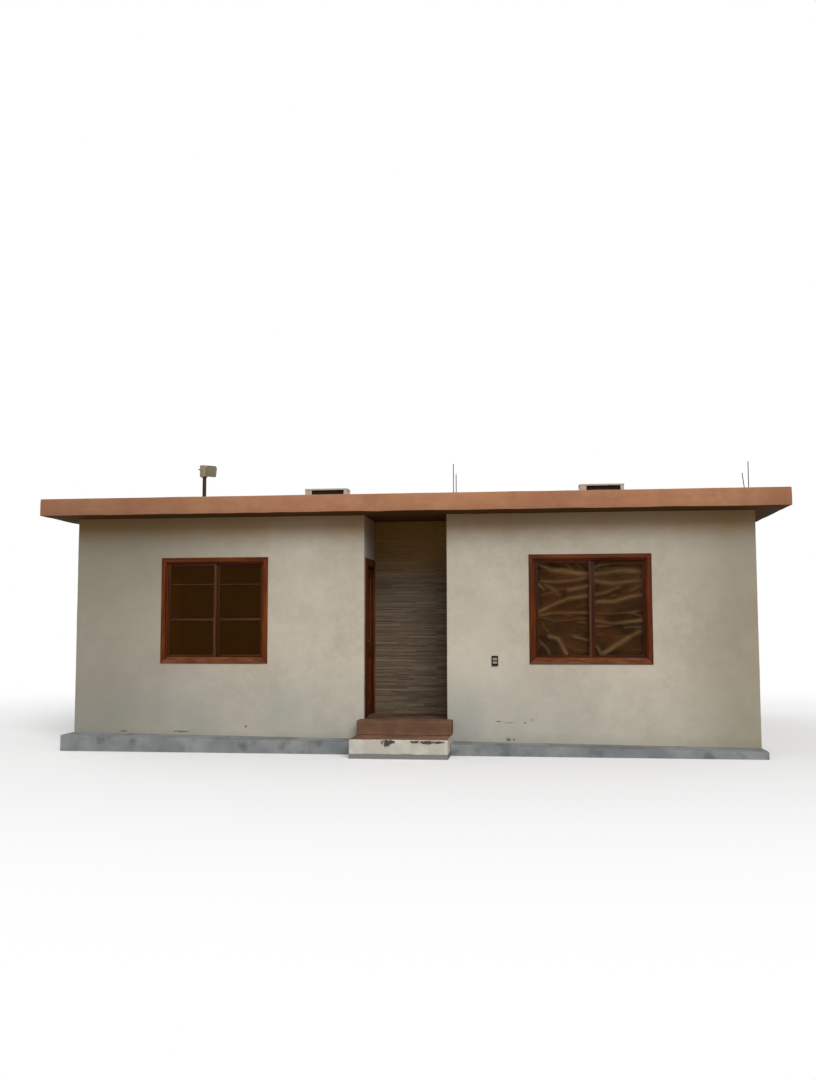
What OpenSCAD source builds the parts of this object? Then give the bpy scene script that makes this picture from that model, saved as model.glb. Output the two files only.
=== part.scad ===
// Single-storey flat-roofed plastered house with a clad entrance recess.
// The origin is the middle of the wall outline at the lowest ground level.
// X runs to the right, Y runs into the house from the front, Z is up.

/* [House] */
// Width of the house over its walls
house_w = 8930; // [8000:10:10500]
// Depth of the house over its walls
house_d = 7000; // [5500:10:9000]
// Thickness of a wall with its plaster
wall_t = 150; // [130:5:180]
// Height of the soffit above the lowest ground
soffit_z = 3068; // [2950:1:3400]
// Height of the indoor and porch floor above the lowest ground
floor_z = 413; // [350:1:450]
// Thickness of the foundation under the walls
foundation_t = 90; // [60:5:150]

/* [Ledge] */
// Width of the concrete ledge along the foot of the wall
ledge_w = 400; // [200:10:400]
// Height of the ledge at the left end of the house
ledge_left_h = 205; // [150:1:250]
// Height of the ledge at the right end of the house
ledge_right_h = 92; // [60:1:150]

/* [Roof] */
// Thickness of the roof slab
roof_t = 235; // [180:1:300]
// Overhang of the slab at the front and the back
roof_front = 408; // [300:1:600]
// Overhang of the slab at the two sides
roof_side = 357; // [250:1:500]
// Width of the eased upper arris of the slab
roof_ease = 12; // [4:1:25]

/* [Porch] */
// Place of the porch's left side from the middle of the house
porch_x = -528; // [-700:1:-400]
// Clear width of the porch
porch_w = 1078; // [950:1:1300]
// Depth of the porch from the front face to its rear masonry
porch_d = 900; // [860:1:1000]
// Thickness of the stone cladding on the porch's rear wall
cladding_t = 30; // [15:1:40]

/* [Steps] */
// Place of the steps' left end from the middle of the house
steps_x = -590; // [-650:1:-540]
// Width of the steps
steps_w = 1218; // [1150:1:1400]
// Height of the lower step above the lowest ground
lower_step_h = 236; // [200:1:280]
// How far the lower step stands out from the front face
lower_step_d = 814; // [600:1:1000]
// How far the upper step stands out from the front face
upper_step_d = 250; // [150:1:400]
// Width of the eased arrises of the steps
step_ease = 8; // [3:1:15]

/* [Windows] */
// Height of the window frames' foot above the lowest ground
sill_z = 1120; // [900:1:1200]
// Height of the window frames
win_h = 1407; // [1100:1:1450]
// Place of the left window's left edge from the middle of the house
left_win_x = -3279; // [-3500:1:-3100]
// Width of the left window's frame
left_win_w = 1459; // [1200:1:1700]
// Place of the right window's left edge from the middle of the house
right_win_x = 1614; // [1300:1:1900]
// Width of the right window's frame
right_win_w = 1552; // [1300:1:1800]
// How far a casing stands proud of the plaster
casing_proud = 12; // [5:1:25]
// Depth of a casing in the wall
casing_d = 115; // [105:1:125]
// Face width of a casing's outer step
casing_step = 60; // [40:1:80]
// Face width of a casing's inner step
casing_lip = 22; // [10:1:40]
// Depth of a casing's outer step
casing_step_d = 20; // [15:1:24]
// Width of a casing's eased arrises
casing_ease = 5; // [2:0.5:8]
// Place of the front sash behind the plaster face
sash_y = 30; // [26:1:34]
// Depth of a sash
sash_d = 22; // [18:1:24]
// Gap between the front and the rear sash
sash_gap = 2; // [1:0.5:4]
// Face width of a sash's rails and outer stile
sash_w = 34; // [28:1:45]
// Face width of the front sash's meeting stile
meeting_w = 36; // [28:1:45]
// Face width of the rear sash's meeting stile
rear_meeting_w = 80; // [60:1:100]
// Height of the light above the upper glazing bar
upper_light_h = 234; // [150:1:280]
// Height of the light between the two glazing bars
middle_light_h = 448; // [300:1:500]
// Face width of the upper glazing bar
upper_bar_w = 14; // [10:1:20]
// Face width of the lower glazing bar
lower_bar_w = 30; // [20:1:40]
// Thickness of a pane
glass_t = 6; // [4:1:8]
// Depth of the groove that holds a pane
glass_groove = 8; // [5:1:12]
// Depth of the space that the crumpled sheet fills behind the right window
sheet_t = 32; // [20:1:34]

/* [Door] */
// Height of the door frame with its casing above the porch floor
door_frame_h = 2100; // [2000:1:2200]
// Width of the flat casing round the door frame
door_casing_w = 45; // [30:1:60]
// Thickness of the flat casing round the door frame
door_casing_t = 15; // [10:1:25]
// How far the front casing laps over the end of the front wall
door_casing_lap = 85; // [60:1:100]
// Width of a door jamb
jamb_w = 40; // [35:1:50]
// Depth of a door jamb
jamb_d = 65; // [60:1:80]
// Width of the stop that the leaf closes against
stop_w = 16; // [12:1:20]
// Depth of the stop
stop_d = 20; // [15:1:25]
// Thickness of the door leaf
leaf_t = 40; // [35:1:45]
// Gap round the leaf
leaf_gap = 8; // [8:1:12]
// Gap between the leaf and its stop
stop_gap = 5; // [5:1:8]
// Width of a stile of the leaf
stile_w = 112; // [100:1:130]
// Height of the leaf's bottom rail
bottom_rail_h = 210; // [150:1:260]
// Height of the leaf's lock rail
lock_rail_h = 150; // [110:1:200]
// Height of the leaf's top rail
top_rail_h = 125; // [100:1:160]
// Height of the lower panel
lower_panel_h = 560; // [400:1:650]
// Depth of the groove round a panel's raised field
panel_groove_d = 11; // [6:1:13]
// Width of the groove round a panel's raised field
panel_groove_w = 34; // [20:1:50]
// How far a raised field stays below the stiles
field_set_back = 4; // [2:1:6]

/* [Hinges and handle] */
// Radius of a hinge barrel
barrel_r = 8; // [7:0.5:10]
// Radius of a hinge pin
pin_r = 4; // [3:0.5:5]
// Length of one hinge from end to end
hinge_l = 110; // [90:1:140]
// Thickness of a hinge plate
plate_t = 3; // [2:0.5:4]
// Width of a hinge plate on the leaf
plate_w = 34; // [25:1:45]
// Distance of the outer hinges from the ends of the leaf
hinge_end = 200; // [150:5:300]
// Height of the handle above the porch floor
handle_h = 1000; // [900:1:1100]
// Distance of the handle from the leaf's closing edge
handle_in = 60; // [50:1:75]
// How far the handle stands out from the leaf
handle_out = 45; // [40:1:60]
// Length of the handle's grip
grip_l = 105; // [90:1:130]
// Radius of the handle's grip
grip_r = 9; // [7:0.5:11]
// Radius of the handle's bend
grip_bend_r = 16; // [12:1:20]
// Radius of the round rose behind the handle
rose_r = 25; // [20:1:30]
// Thickness of the rose
rose_t = 8; // [5:0.5:10]

/* [Outlet] */
// Place of the outlet's left edge from the middle of the house
outlet_x = 1130; // [1000:1:1300]
// Height of the outlet's foot above the lowest ground
outlet_z = 1099; // [900:1:1300]
// Width of the outlet's plate
outlet_w = 82; // [70:1:100]
// Height of the outlet's plate
outlet_h = 128; // [110:1:140]
// Thickness of the outlet's plate
outlet_t = 12; // [8:1:16]
// Radius of the plate's corners
outlet_r = 8; // [4:1:12]
// Width of an outlet module
module_w = 54; // [45:1:58]
// Height of an outlet module
module_h = 28; // [22:1:32]
// Gap between the two modules
module_gap = 16; // [10:1:20]
// How far a module stands out from the plate
module_t = 3; // [2:0.5:5]

/* [Outdoor units] */
// Width of an air conditioner's outdoor unit
unit_w = 705; // [650:1:850]
// Depth of an outdoor unit
unit_d = 310; // [260:1:350]
// Height of an outdoor unit without its feet
unit_h = 500; // [450:1:600]
// Place of an outdoor unit's front behind the front wall
unit_y = 3100; // [2500:10:3800]
// Place of the left unit's left end from the middle of the house
left_unit_x = -2018; // [-2500:1:-1800]
// Place of the right unit's left end from the middle of the house
right_unit_x = 2400; // [2000:1:2700]
// Radius of a unit's upright corners
case_r = 28; // [15:1:40]
// How far the lid and the base pan stand out from the case
lid_lip = 4; // [2:0.5:8]
// Height of the lid
lid_h = 24; // [15:1:35]
// Height of the base pan
pan_h = 28; // [20:1:40]
// Width of the case beside the coil at the left
coil_left = 115; // [80:1:150]
// Width of the case beside the coil at the right
coil_right = 60; // [45:1:90]
// Depth of the coil's front behind the case
coil_inset = 16; // [10:1:25]
// Thickness of the coil
coil_t = 22; // [15:1:30]
// Number of wire rails in front of a coil
guard_rails = 9; // [5:1:12]
// Thickness of a wire rail
rail_t = 5; // [4:0.5:7]
// Radius of a fan
fan_r = 200; // [150:1:210]
// Clearance between a fan and its ring
fan_gap = 12; // [8:1:16]
// Depth of the space for a fan
fan_pocket = 120; // [90:1:150]
// Radius of a fan's hub
hub_r = 48; // [35:1:60]
// Number of blades
blades = 5; // [3:1:7]
// Number of rings in a fan guard
guard_rings = 4; // [3:1:6]
// Number of spokes in a fan guard
guard_spokes = 8; // [4:1:12]
// Thickness of a guard's bars
guard_t = 5; // [4:0.5:7]
// Height of a unit's foot rails
foot_h = 40; // [25:1:60]
// Width of a foot rail
foot_w = 60; // [40:1:80]
// Distance of the foot rails from a unit's ends
foot_in = 90; // [60:1:150]
// How far a foot rail stands out in front of and behind a unit
foot_out = 15; // [5:1:30]

/* [Floodlight] */
// Place of the lamp pole from the middle of the house
pole_x = -3189; // [-3400:1:-2800]
// Place of the lamp pole behind the front wall
pole_y = 1500; // [1000:10:2000]
// Height of the lamp pole above the roof
pole_h = 530; // [400:1:700]
// Radius of the lamp pole
pole_r = 28; // [18:1:30]
// Radius of the pole's foot plate
flange_r = 65; // [50:1:90]
// Thickness of the pole's foot plate
flange_t = 8; // [5:1:12]
// Width of the control box on the pole
gear_w = 88; // [70:1:110]
// Depth of the control box
gear_d = 95; // [80:1:120]
// Height of the control box
gear_h = 172; // [140:1:200]
// Place of the control box's left side from the pole's middle
gear_left = 57; // [40:1:60]
// Radius of the swivel between control box and lamp
swivel_r = 34; // [25:1:40]
// Length of the swivel
swivel_l = 14; // [8:1:20]
// Width of the lamp's housing
lamp_w = 142; // [120:1:180]
// Depth of the lamp's housing
lamp_d = 110; // [90:1:130]
// Height of the lamp's housing
lamp_h = 168; // [140:1:190]
// How much the housing narrows to its back on each side
lamp_taper = 22; // [10:1:35]
// Width of the rim round the lamp's glass
lamp_rim = 12; // [8:1:18]
// Depth of the glass behind the rim
glass_inset = 8; // [4:1:12]
// Angle by which the housing leans
lamp_lean = 7; // [0:1:12]
// Number of cooling fins on the housing's back
lamp_fins = 7; // [4:1:10]
// Radius of the adjusting knob
knob_r = 14; // [8:1:18]
// Length of the adjusting knob
knob_l = 38; // [20:1:45]

/* [Bar stubs] */
// Heights of the four bar stubs above the roof
bar_heights = [430, 300, 390, 250]; // [200:1:500]
// Distances of the porch's two stubs from the porch's right side
porch_bars_x = [96, 128]; // [60:1:200]
// Distances of the corner's two stubs from the right wall's face
corner_bars_x = [65, 103]; // [40:1:200]
// Distances of a pair's front and rear stub from the front face
bars_y = [55, 100]; // [40:1:120]
// Angle by which the last stub leans to the left
bar_lean = 7; // [0:0.5:10]
// Radius of a bar stub
bar_r = 6; // [5:0.5:8]

/* [Hidden] */

// Overshoot of a cut past the face that it opens
cut = 1;
// Clearance of a turning fit and of pieces that rest without touching
seat_gap = 0.3;
// Facets of a round hinge part, of a round trim piece and of a large ring
hinge_fn = 48;
trim_fn = 32;
ring_fn = 96;

front_y = -house_d / 2;
back_y = house_d / 2;
left_x = -house_w / 2;
right_x = house_w / 2;
roof_top = soffit_z + roof_t;

porch_right = porch_x + porch_w;
steps_right = steps_x + steps_w;
rear_y = front_y + porch_d;

// Colours of the finishes
plaster = [0.82, 0.79, 0.72];
concrete = [0.52, 0.54, 0.55];
terracotta = [0.66, 0.40, 0.28];
timber = [0.42, 0.16, 0.07];
dark_timber = [0.28, 0.13, 0.07];
stone = [0.33, 0.29, 0.26];
pane = [0.12, 0.12, 0.12];
steel = [0.55, 0.55, 0.53];
pale_metal = [0.82, 0.82, 0.79];
dark_metal = [0.13, 0.13, 0.13];
pale_module = [0.86, 0.84, 0.78];

// Height of the ledge's top at a place along the house
function ledge_top(x) =
  ledge_left_h + (ledge_right_h - ledge_left_h) * (x - left_x) / house_w;

// A box given by its lowest and highest corners
module block(low, high) {
  translate(low) cube(high - low);
}

// Outline of a box's end with its two upper corners eased
module eased_outline(w, h, first_ease, last_ease) {
  polygon([[0, 0], [w, 0], [w, h - last_ease], [w - last_ease, h],
           [first_ease, h], [0, h - first_ease]]);
}

// A box with its upper edges eased, and its upper rear edge as back_ease says
module eased_block(low, high, ease, back_ease) {
  size = high - low;
  translate(low)
    intersection() {
      rotate([90, 0, 90])
        linear_extrude(size[0])
          eased_outline(size[1], size[2], ease, back_ease);
      translate([0, size[1], 0])
        rotate([90, 0, 0])
          linear_extrude(size[1])
            eased_outline(size[0], size[2], ease, ease);
    }
}

// Outline of a box with round corners
module round_outline(w, d, r) {
  translate([r, 0]) square([w - 2 * r, d]);
  translate([0, r]) square([w, d - 2 * r]);
  for (x = [r, w - r], y = [r, d - r])
    translate([x, y]) circle(r, $fn = trim_fn);
}

// One stretch of ledge, whose top falls towards the right
module ledge(x0, x1, y0, y1) {
  color(concrete)
    translate([0, y1, 0])
      rotate([90, 0, 0])
        linear_extrude(y1 - y0)
          polygon([[x0, 0], [x1, 0], [x1, ledge_top(x1)], [x0, ledge_top(x0)]]);
}

// A wall of the front or the back, cut through for its windows
module long_wall(x0, x1, y0, windows) {
  color(plaster)
    difference() {
      block([x0, y0, foundation_t], [x1, y0 + wall_t, soffit_z]);
      for (w = windows)
        block([w[0], y0 - cut, sill_z], [w[0] + w[1], y0 + wall_t + cut, sill_z + win_h]);
    }
}

// A side wall between the front and the back wall, with one window
module side_wall(x0) {
  color(plaster)
    difference() {
      block([x0, front_y + wall_t, foundation_t], [x0 + wall_t, back_y - wall_t, soffit_z]);
      block([x0 - cut, -left_win_w / 2, sill_z],
            [x0 + wall_t + cut, left_win_w / 2, sill_z + win_h]);
    }
}

// Window pieces: X runs along the wall, Y goes inwards from the plaster face
casing_in = casing_step + casing_lip;
light_z0 = casing_in + sash_w;
light_z1 = win_h - casing_in - sash_w;

// A block whose front arrises are eased, or a cutter that flares to its front by a negative ease
module eased_plug(x, y, z, ease) {
  flare = max(0, -ease);
  depth = abs(ease);
  intersection() {
    translate([0, 0, z[0] - flare])
      linear_extrude(z[1] - z[0] + 2 * flare)
        polygon([[x[0], y[1]], [x[0], y[0] + depth], [x[0] + ease, y[0]],
                 [x[1] - ease, y[0]], [x[1], y[0] + depth], [x[1], y[1]]]);
    translate([x[0] - flare, 0, 0])
      rotate([90, 0, 90])
        linear_extrude(x[1] - x[0] + 2 * flare)
          polygon([[y[1], z[0]], [y[0] + depth, z[0]], [y[0], z[0] + ease],
                   [y[0], z[1] - ease], [y[0] + depth, z[1]], [y[1], z[1]]]);
  }
}

// A moulded casing: an eased outer step round a deeper, eased lip
module window_casing(w) {
  color(timber)
    difference() {
      eased_plug([0, w], [-casing_proud, casing_d], [0, win_h], casing_ease);
      eased_plug([casing_step, w - casing_step], [-casing_proud - cut, casing_step_d],
                 [casing_step, win_h - casing_step], -casing_ease - cut);
      eased_plug([casing_in, w - casing_in], [casing_step_d - cut, casing_d + cut],
                 [casing_in, win_h - casing_in], -casing_ease - cut);
    }
}

// Foot and head of each light, from the top down
upper_bar_z = light_z1 - upper_light_h - upper_bar_w;
lower_bar_z = upper_bar_z - middle_light_h - lower_bar_w;
function lights(barred) =
  barred ? [[upper_bar_z + upper_bar_w, light_z1],
            [lower_bar_z + lower_bar_w, upper_bar_z],
            [light_z0, lower_bar_z]]
         : [[light_z0, light_z1]];

// The two sashes: left end, right end, front, width of the left and of the right stile
function sashes(w) =
  [[casing_in, (w + meeting_w) / 2, sash_y, sash_w, meeting_w],
   [(w - meeting_w) / 2, w - casing_in, sash_y + sash_d + sash_gap, rear_meeting_w, sash_w]];

// A sash's pane stands in a groove all round
module sash_pane(s) {
  pane_y = s[2] + (sash_d - glass_t) / 2;
  block([s[0] + s[3] - glass_groove, pane_y, light_z0 - glass_groove],
        [s[1] - s[4] + glass_groove, pane_y + glass_t, light_z1 + glass_groove]);
}

module window_sash(w, barred) {
  color(timber)
    for (s = sashes(w))
      difference() {
        block([s[0], s[2], casing_in], [s[1], s[2] + sash_d, win_h - casing_in]);
        for (light = lights(barred))
          block([s[0] + s[3], s[2] - cut, light[0]],
                [s[1] - s[4], s[2] + sash_d / 2, light[1]]);
        block([s[0] + s[3], s[2] + sash_d / 2, light_z0],
              [s[1] - s[4], s[2] + sash_d + cut, light_z1]);
        sash_pane(s);
      }
}

module window_glass(w) {
  color(pane)
    for (s = sashes(w))
      sash_pane(s);
}

module at_left_window() {
  translate([left_win_x, front_y, sill_z]) children();
}

module at_right_window() {
  translate([right_win_x, front_y, sill_z]) children();
}

module at_side_windows() {
  for (turn = [-90, 90])
    rotate([0, 0, turn])
      translate([-left_win_w / 2, left_x, sill_z]) children();
}

module at_back_windows() {
  for (x = [left_win_x, -left_win_x - left_win_w])
    rotate([0, 0, 180])
      translate([x, front_y, sill_z]) children();
}

module foundation() {
  color(concrete)
    block([left_x, front_y, 0], [right_x, back_y, foundation_t]);
}

module front_ledge_left() {
  ledge(left_x, steps_x, front_y - ledge_w, front_y);
}

module front_ledge_right() {
  ledge(steps_right, right_x, front_y - ledge_w, front_y);
}

module back_ledge() {
  ledge(left_x, right_x, back_y, back_y + ledge_w);
}

// The indoor floor goes round the walls of the porch
module floor_slab() {
  color(concrete)
    difference() {
      block([left_x + wall_t, front_y + wall_t, foundation_t],
            [right_x - wall_t, back_y - wall_t, floor_z]);
      block([porch_x - wall_t, front_y + wall_t - cut, foundation_t - cut],
            [porch_right + wall_t, rear_y + wall_t, floor_z + cut]);
    }
}

// The porch floor runs on through the doorway as its sill
module porch_floor() {
  color(dark_timber)
    union() {
      block([porch_x, front_y, foundation_t], [porch_right, rear_y, floor_z]);
      block([porch_x - wall_t, front_y + wall_t, foundation_t],
            [porch_x + cut, rear_y, floor_z]);
    }
}

module lower_step() {
  color("white")
    eased_block([steps_x, front_y - lower_step_d, 0], [steps_right, front_y, lower_step_h],
                step_ease, 0);
}

module upper_step() {
  color(terracotta)
    eased_block([steps_x, front_y - upper_step_d, lower_step_h], [steps_right, front_y, floor_z],
                step_ease, 0);
}

module front_wall_left() {
  long_wall(left_x, porch_x, front_y, [[left_win_x, left_win_w]]);
}

module front_wall_right() {
  long_wall(porch_right, right_x, front_y, [[right_win_x, right_win_w]]);
}

module left_wall() {
  side_wall(left_x);
}

module right_wall() {
  side_wall(right_x - wall_t);
}

module back_wall() {
  long_wall(left_x, right_x, back_y - wall_t,
            [[left_win_x, left_win_w], [-left_win_x - left_win_w, left_win_w]]);
}

module porch_back_wall() {
  color(plaster)
    block([porch_x - wall_t, rear_y, foundation_t],
          [porch_right + wall_t, rear_y + wall_t, soffit_z]);
}

module porch_right_wall() {
  color(plaster)
    block([porch_right, front_y + wall_t, foundation_t],
          [porch_right + wall_t, rear_y, soffit_z]);
}

// Height of the doorway cut in the masonry
doorway_top = floor_z + door_frame_h - door_casing_w;

module wall_over_door() {
  color(plaster)
    block([porch_x - wall_t, front_y + wall_t, doorway_top], [porch_x, rear_y, soffit_z]);
}

module stone_cladding() {
  color(stone)
    block([porch_x, rear_y - cladding_t, floor_z], [porch_right, rear_y, soffit_z]);
}

module roof_slab() {
  color(terracotta)
    eased_block([left_x - roof_side, front_y - roof_front, soffit_z],
                [right_x + roof_side, back_y + roof_front, roof_top], roof_ease, roof_ease);
}

module left_window_casing() {
  at_left_window() window_casing(left_win_w);
}

module left_window_sash() {
  at_left_window() window_sash(left_win_w, true);
}

module left_window_glass() {
  at_left_window() window_glass(left_win_w);
}

module right_window_casing() {
  at_right_window() window_casing(right_win_w);
}

module right_window_sash() {
  at_right_window() window_sash(right_win_w, false);
}

module right_window_glass() {
  at_right_window() window_glass(right_win_w);
}

// Space of the crumpled sheet, just behind the right window's rear sash
module right_window_sheet() {
  sheet_y = sash_y + 2 * sash_d + sash_gap + seat_gap;
  color(dark_timber)
    at_right_window()
      block([casing_in + seat_gap, sheet_y, casing_in + seat_gap],
            [right_win_w - casing_in - seat_gap, sheet_y + sheet_t,
             win_h - casing_in - seat_gap]);
}

module side_window_casings() {
  at_side_windows() window_casing(left_win_w);
}

module side_window_sashes() {
  at_side_windows() window_sash(left_win_w, true);
}

module side_window_glass() {
  at_side_windows() window_glass(left_win_w);
}

module back_window_casings() {
  at_back_windows() window_casing(left_win_w);
}

module back_window_sashes() {
  at_back_windows() window_sash(left_win_w, true);
}

module back_window_glass() {
  at_back_windows() window_glass(left_win_w);
}

// Doorway from the inside of the front wall to the porch's rear wall
doorway_y0 = front_y + wall_t;
doorway_y1 = rear_y;
doorway_in = porch_x - jamb_d;

module door_frame() {
  casing_y0 = doorway_y0 - door_casing_lap;
  casing_y1 = rear_y - cladding_t;
  frame_top = floor_z + door_frame_h;
  clear_y0 = doorway_y0 + jamb_w;
  clear_y1 = doorway_y1 - jamb_w;
  clear_top = doorway_top - jamb_w;
  color(timber)
    difference() {
      union() {
        block([doorway_in, doorway_y0, floor_z], [porch_x, doorway_y1, doorway_top]);
        block([porch_x - cut, doorway_y0, floor_z], [porch_x + door_casing_t, casing_y1, doorway_top]);
        block([porch_x, casing_y0, floor_z], [porch_x + door_casing_t, casing_y1, frame_top]);
      }
      block([doorway_in - cut, clear_y0, floor_z - cut], [porch_x - stop_d, clear_y1, clear_top]);
      block([porch_x - stop_d - cut, clear_y0 + stop_w, floor_z - cut],
            [porch_x + door_casing_t + cut, clear_y1 - stop_w, clear_top - stop_w]);
    }
}

// The closed leaf stands inside its stops
leaf_x1 = porch_x - stop_d - stop_gap;
leaf_x0 = leaf_x1 - leaf_t;
leaf_y0 = doorway_y0 + jamb_w + leaf_gap;
leaf_y1 = doorway_y1 - jamb_w - leaf_gap;
leaf_z0 = floor_z + leaf_gap;
leaf_z1 = doorway_top - jamb_w - leaf_gap;

// Foot and head of the lower and of the upper panel
panels = [[leaf_z0 + bottom_rail_h, leaf_z0 + bottom_rail_h + lower_panel_h],
          [leaf_z0 + bottom_rail_h + lower_panel_h + lock_rail_h, leaf_z1 - top_rail_h]];

// What is cut from one face of the leaf at a panel: a shallow bed and a groove round the field
module panel_cut(z0, z1) {
  y0 = leaf_y0 + stile_w;
  y1 = leaf_y1 - stile_w;
  block([-cut, y0, z0], [field_set_back, y1, z1]);
  difference() {
    block([-cut, y0, z0], [panel_groove_d, y1, z1]);
    block([-2 * cut, y0 + panel_groove_w, z0 + panel_groove_w],
          [panel_groove_d + cut, y1 - panel_groove_w, z1 - panel_groove_w]);
  }
}

module door_leaf() {
  color(dark_timber)
    difference() {
      block([leaf_x0, leaf_y0, leaf_z0], [leaf_x1, leaf_y1, leaf_z1]);
      for (z = panels) {
        translate([leaf_x0, 0, 0]) panel_cut(z[0], z[1]);
        translate([leaf_x1, 0, 0]) mirror([1, 0, 0]) panel_cut(z[0], z[1]);
      }
    }
}

// The hinge line stands just inside the leaf, between leaf and rear jamb
barrel_gap = 2;
hinge_x = leaf_x0 - barrel_r - barrel_gap;
hinge_y = leaf_y1 + leaf_gap / 2;
hinge_z = [leaf_z0 + hinge_end, (leaf_z0 + leaf_z1) / 2, leaf_z1 - hinge_end];
// How far a hinge's arm stays beside the hinge line and off the other half
arm_off = 1;
arm_gap = 3;
// Margin of a plate beside the jamb's edge, and solid metal over the pin's end
plate_margin = 6;

// The lower half of each hinge is screwed to the jamb and carries the pin
module hinge_pins() {
  color(steel)
    for (z = hinge_z) {
      foot_z = z - hinge_l / 2;
      translate([hinge_x, hinge_y, foot_z])
        cylinder(r = barrel_r, h = hinge_l / 2, $fn = hinge_fn);
      translate([hinge_x, hinge_y, z - cut])
        cylinder(r = pin_r, h = hinge_l / 2 - plate_margin, $fn = hinge_fn);
      block([doorway_in - plate_t, hinge_y, foot_z],
            [doorway_in, doorway_y1 - plate_margin, z - arm_gap]);
      block([hinge_x, hinge_y + arm_off, foot_z],
            [doorway_in - plate_t + cut, hinge_y + arm_off + plate_t, z - arm_gap]);
    }
}

// The upper half of each hinge slips over the pin and carries the leaf
module hinge_barrels() {
  color(steel)
    for (z = hinge_z) {
      head_z = z + hinge_l / 2;
      difference() {
        union() {
          translate([hinge_x, hinge_y, z + seat_gap])
            cylinder(r = barrel_r, h = hinge_l / 2, $fn = hinge_fn);
          block([hinge_x, hinge_y - arm_off - plate_t, z + arm_gap],
                [leaf_x0 - plate_t + cut, hinge_y - arm_off, head_z]);
          block([leaf_x0 - plate_t, leaf_y1 - plate_w, z + arm_gap],
                [leaf_x0, hinge_y - arm_off, head_z]);
        }
        translate([hinge_x, hinge_y, z - cut])
          cylinder(r = pin_r + seat_gap, h = hinge_l / 2 - plate_margin + 2 * cut,
                   $fn = hinge_fn);
      }
    }
}

handle_y = leaf_y0 + handle_in;
handle_z = floor_z + handle_h;

// A lever on its rose: Z goes out from the leaf, and the grip runs along Y
module lever(face_x, way) {
  bend_z = handle_out - grip_r - grip_bend_r;
  translate([face_x, handle_y, handle_z])
    rotate([0, 90 * way, 0]) {
      cylinder(r = rose_r, h = rose_t, $fn = hinge_fn);
      cylinder(r = grip_r, h = bend_z, $fn = trim_fn);
      translate([0, grip_bend_r, bend_z])
        rotate([90, 0, -90])
          rotate_extrude(angle = 90, $fn = 4 * trim_fn)
            translate([grip_bend_r, 0])
              circle(grip_r, $fn = trim_fn);
      translate([0, grip_bend_r, handle_out - grip_r])
        rotate([-90, 0, 0])
          cylinder(r = grip_r, h = grip_l - grip_bend_r, $fn = trim_fn);
      translate([0, grip_l, handle_out - grip_r])
        sphere(r = grip_r, $fn = trim_fn);
    }
}

module door_handle() {
  color(steel) {
    lever(leaf_x1, 1);
    lever(leaf_x0, -1);
  }
}

// A dark plate beside the right window with two pale modules, one over the other
module outlet_box() {
  translate([outlet_x, front_y, outlet_z])
    rotate([90, 0, 0]) {
      color(dark_metal)
        linear_extrude(outlet_t)
          round_outline(outlet_w, outlet_h, outlet_r);
      color(pale_module)
        for (side = [-1, 1])
          translate([(outlet_w - module_w) / 2,
                     (outlet_h - module_h + side * (module_h + module_gap)) / 2, outlet_t - cut])
            cube([module_w, module_h, module_t + cut]);
    }
}

module at_units() {
  for (x = [left_unit_x, right_unit_x])
    translate([x, front_y + unit_y, roof_top + foot_h]) children();
}

coil_foot = pan_h + cut;
coil_head = unit_h - lid_h - cut;
fan_ring_r = fan_r + fan_gap;

// A sheet metal case between its base pan and its lid, open to the coil and to the fan
module condenser_cases() {
  color(pale_metal)
    at_units()
      difference() {
        union() {
          linear_extrude(pan_h)
            round_outline(unit_w, unit_d, case_r);
          translate([lid_lip, lid_lip, 0])
            linear_extrude(unit_h - lid_h)
              round_outline(unit_w - 2 * lid_lip, unit_d - 2 * lid_lip, case_r - lid_lip);
          translate([0, 0, unit_h - lid_h])
            linear_extrude(lid_h)
              round_outline(unit_w, unit_d, case_r);
        }
        block([coil_left, -cut, coil_foot], [unit_w - coil_right, coil_inset + coil_t, coil_head]);
        translate([unit_w / 2, unit_d + cut, unit_h / 2])
          rotate([90, 0, 0])
            cylinder(r = fan_ring_r, h = fan_pocket + cut, $fn = ring_fn);
      }
}

// The coil with the wire rails in front of it
module condenser_coils() {
  rail_step = (coil_head - coil_foot) / guard_rails;
  color(dark_metal)
    at_units() {
      block([coil_left, coil_inset, coil_foot],
            [unit_w - coil_right, coil_inset + coil_t, coil_head]);
      for (k = [1 : guard_rails - 1])
        block([coil_left, coil_inset - rail_t, coil_foot + k * rail_step - rail_t / 2],
              [unit_w - coil_right, coil_inset + cut, coil_foot + k * rail_step + rail_t / 2]);
    }
}

blade_w = 96;
blade_t = 4;
blade_pitch = 28;
blade_tip_gap = 6;

module condenser_fans() {
  fan_d = fan_pocket - 2 * guard_t - blade_w / 4;
  color(dark_metal)
    at_units()
      translate([unit_w / 2, unit_d - fan_pocket, unit_h / 2])
        rotate([-90, 0, 0]) {
          cylinder(r = hub_r, h = fan_d, $fn = hinge_fn);
          for (k = [0 : blades - 1])
            rotate([0, 0, k * 360 / blades])
              translate([hub_r / 2, 0, fan_d / 2])
                rotate([blade_pitch, 0, 0])
                  translate([0, -blade_w / 2, -blade_t / 2])
                    cube([fan_r - hub_r / 2 - blade_tip_gap, blade_w, blade_t]);
        }
}

// Flat ring
module ring(outer_r, inner_r, h) {
  difference() {
    cylinder(r = outer_r, h = h, $fn = ring_fn);
    translate([0, 0, -cut]) cylinder(r = inner_r, h = h + 2 * cut, $fn = ring_fn);
  }
}

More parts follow.
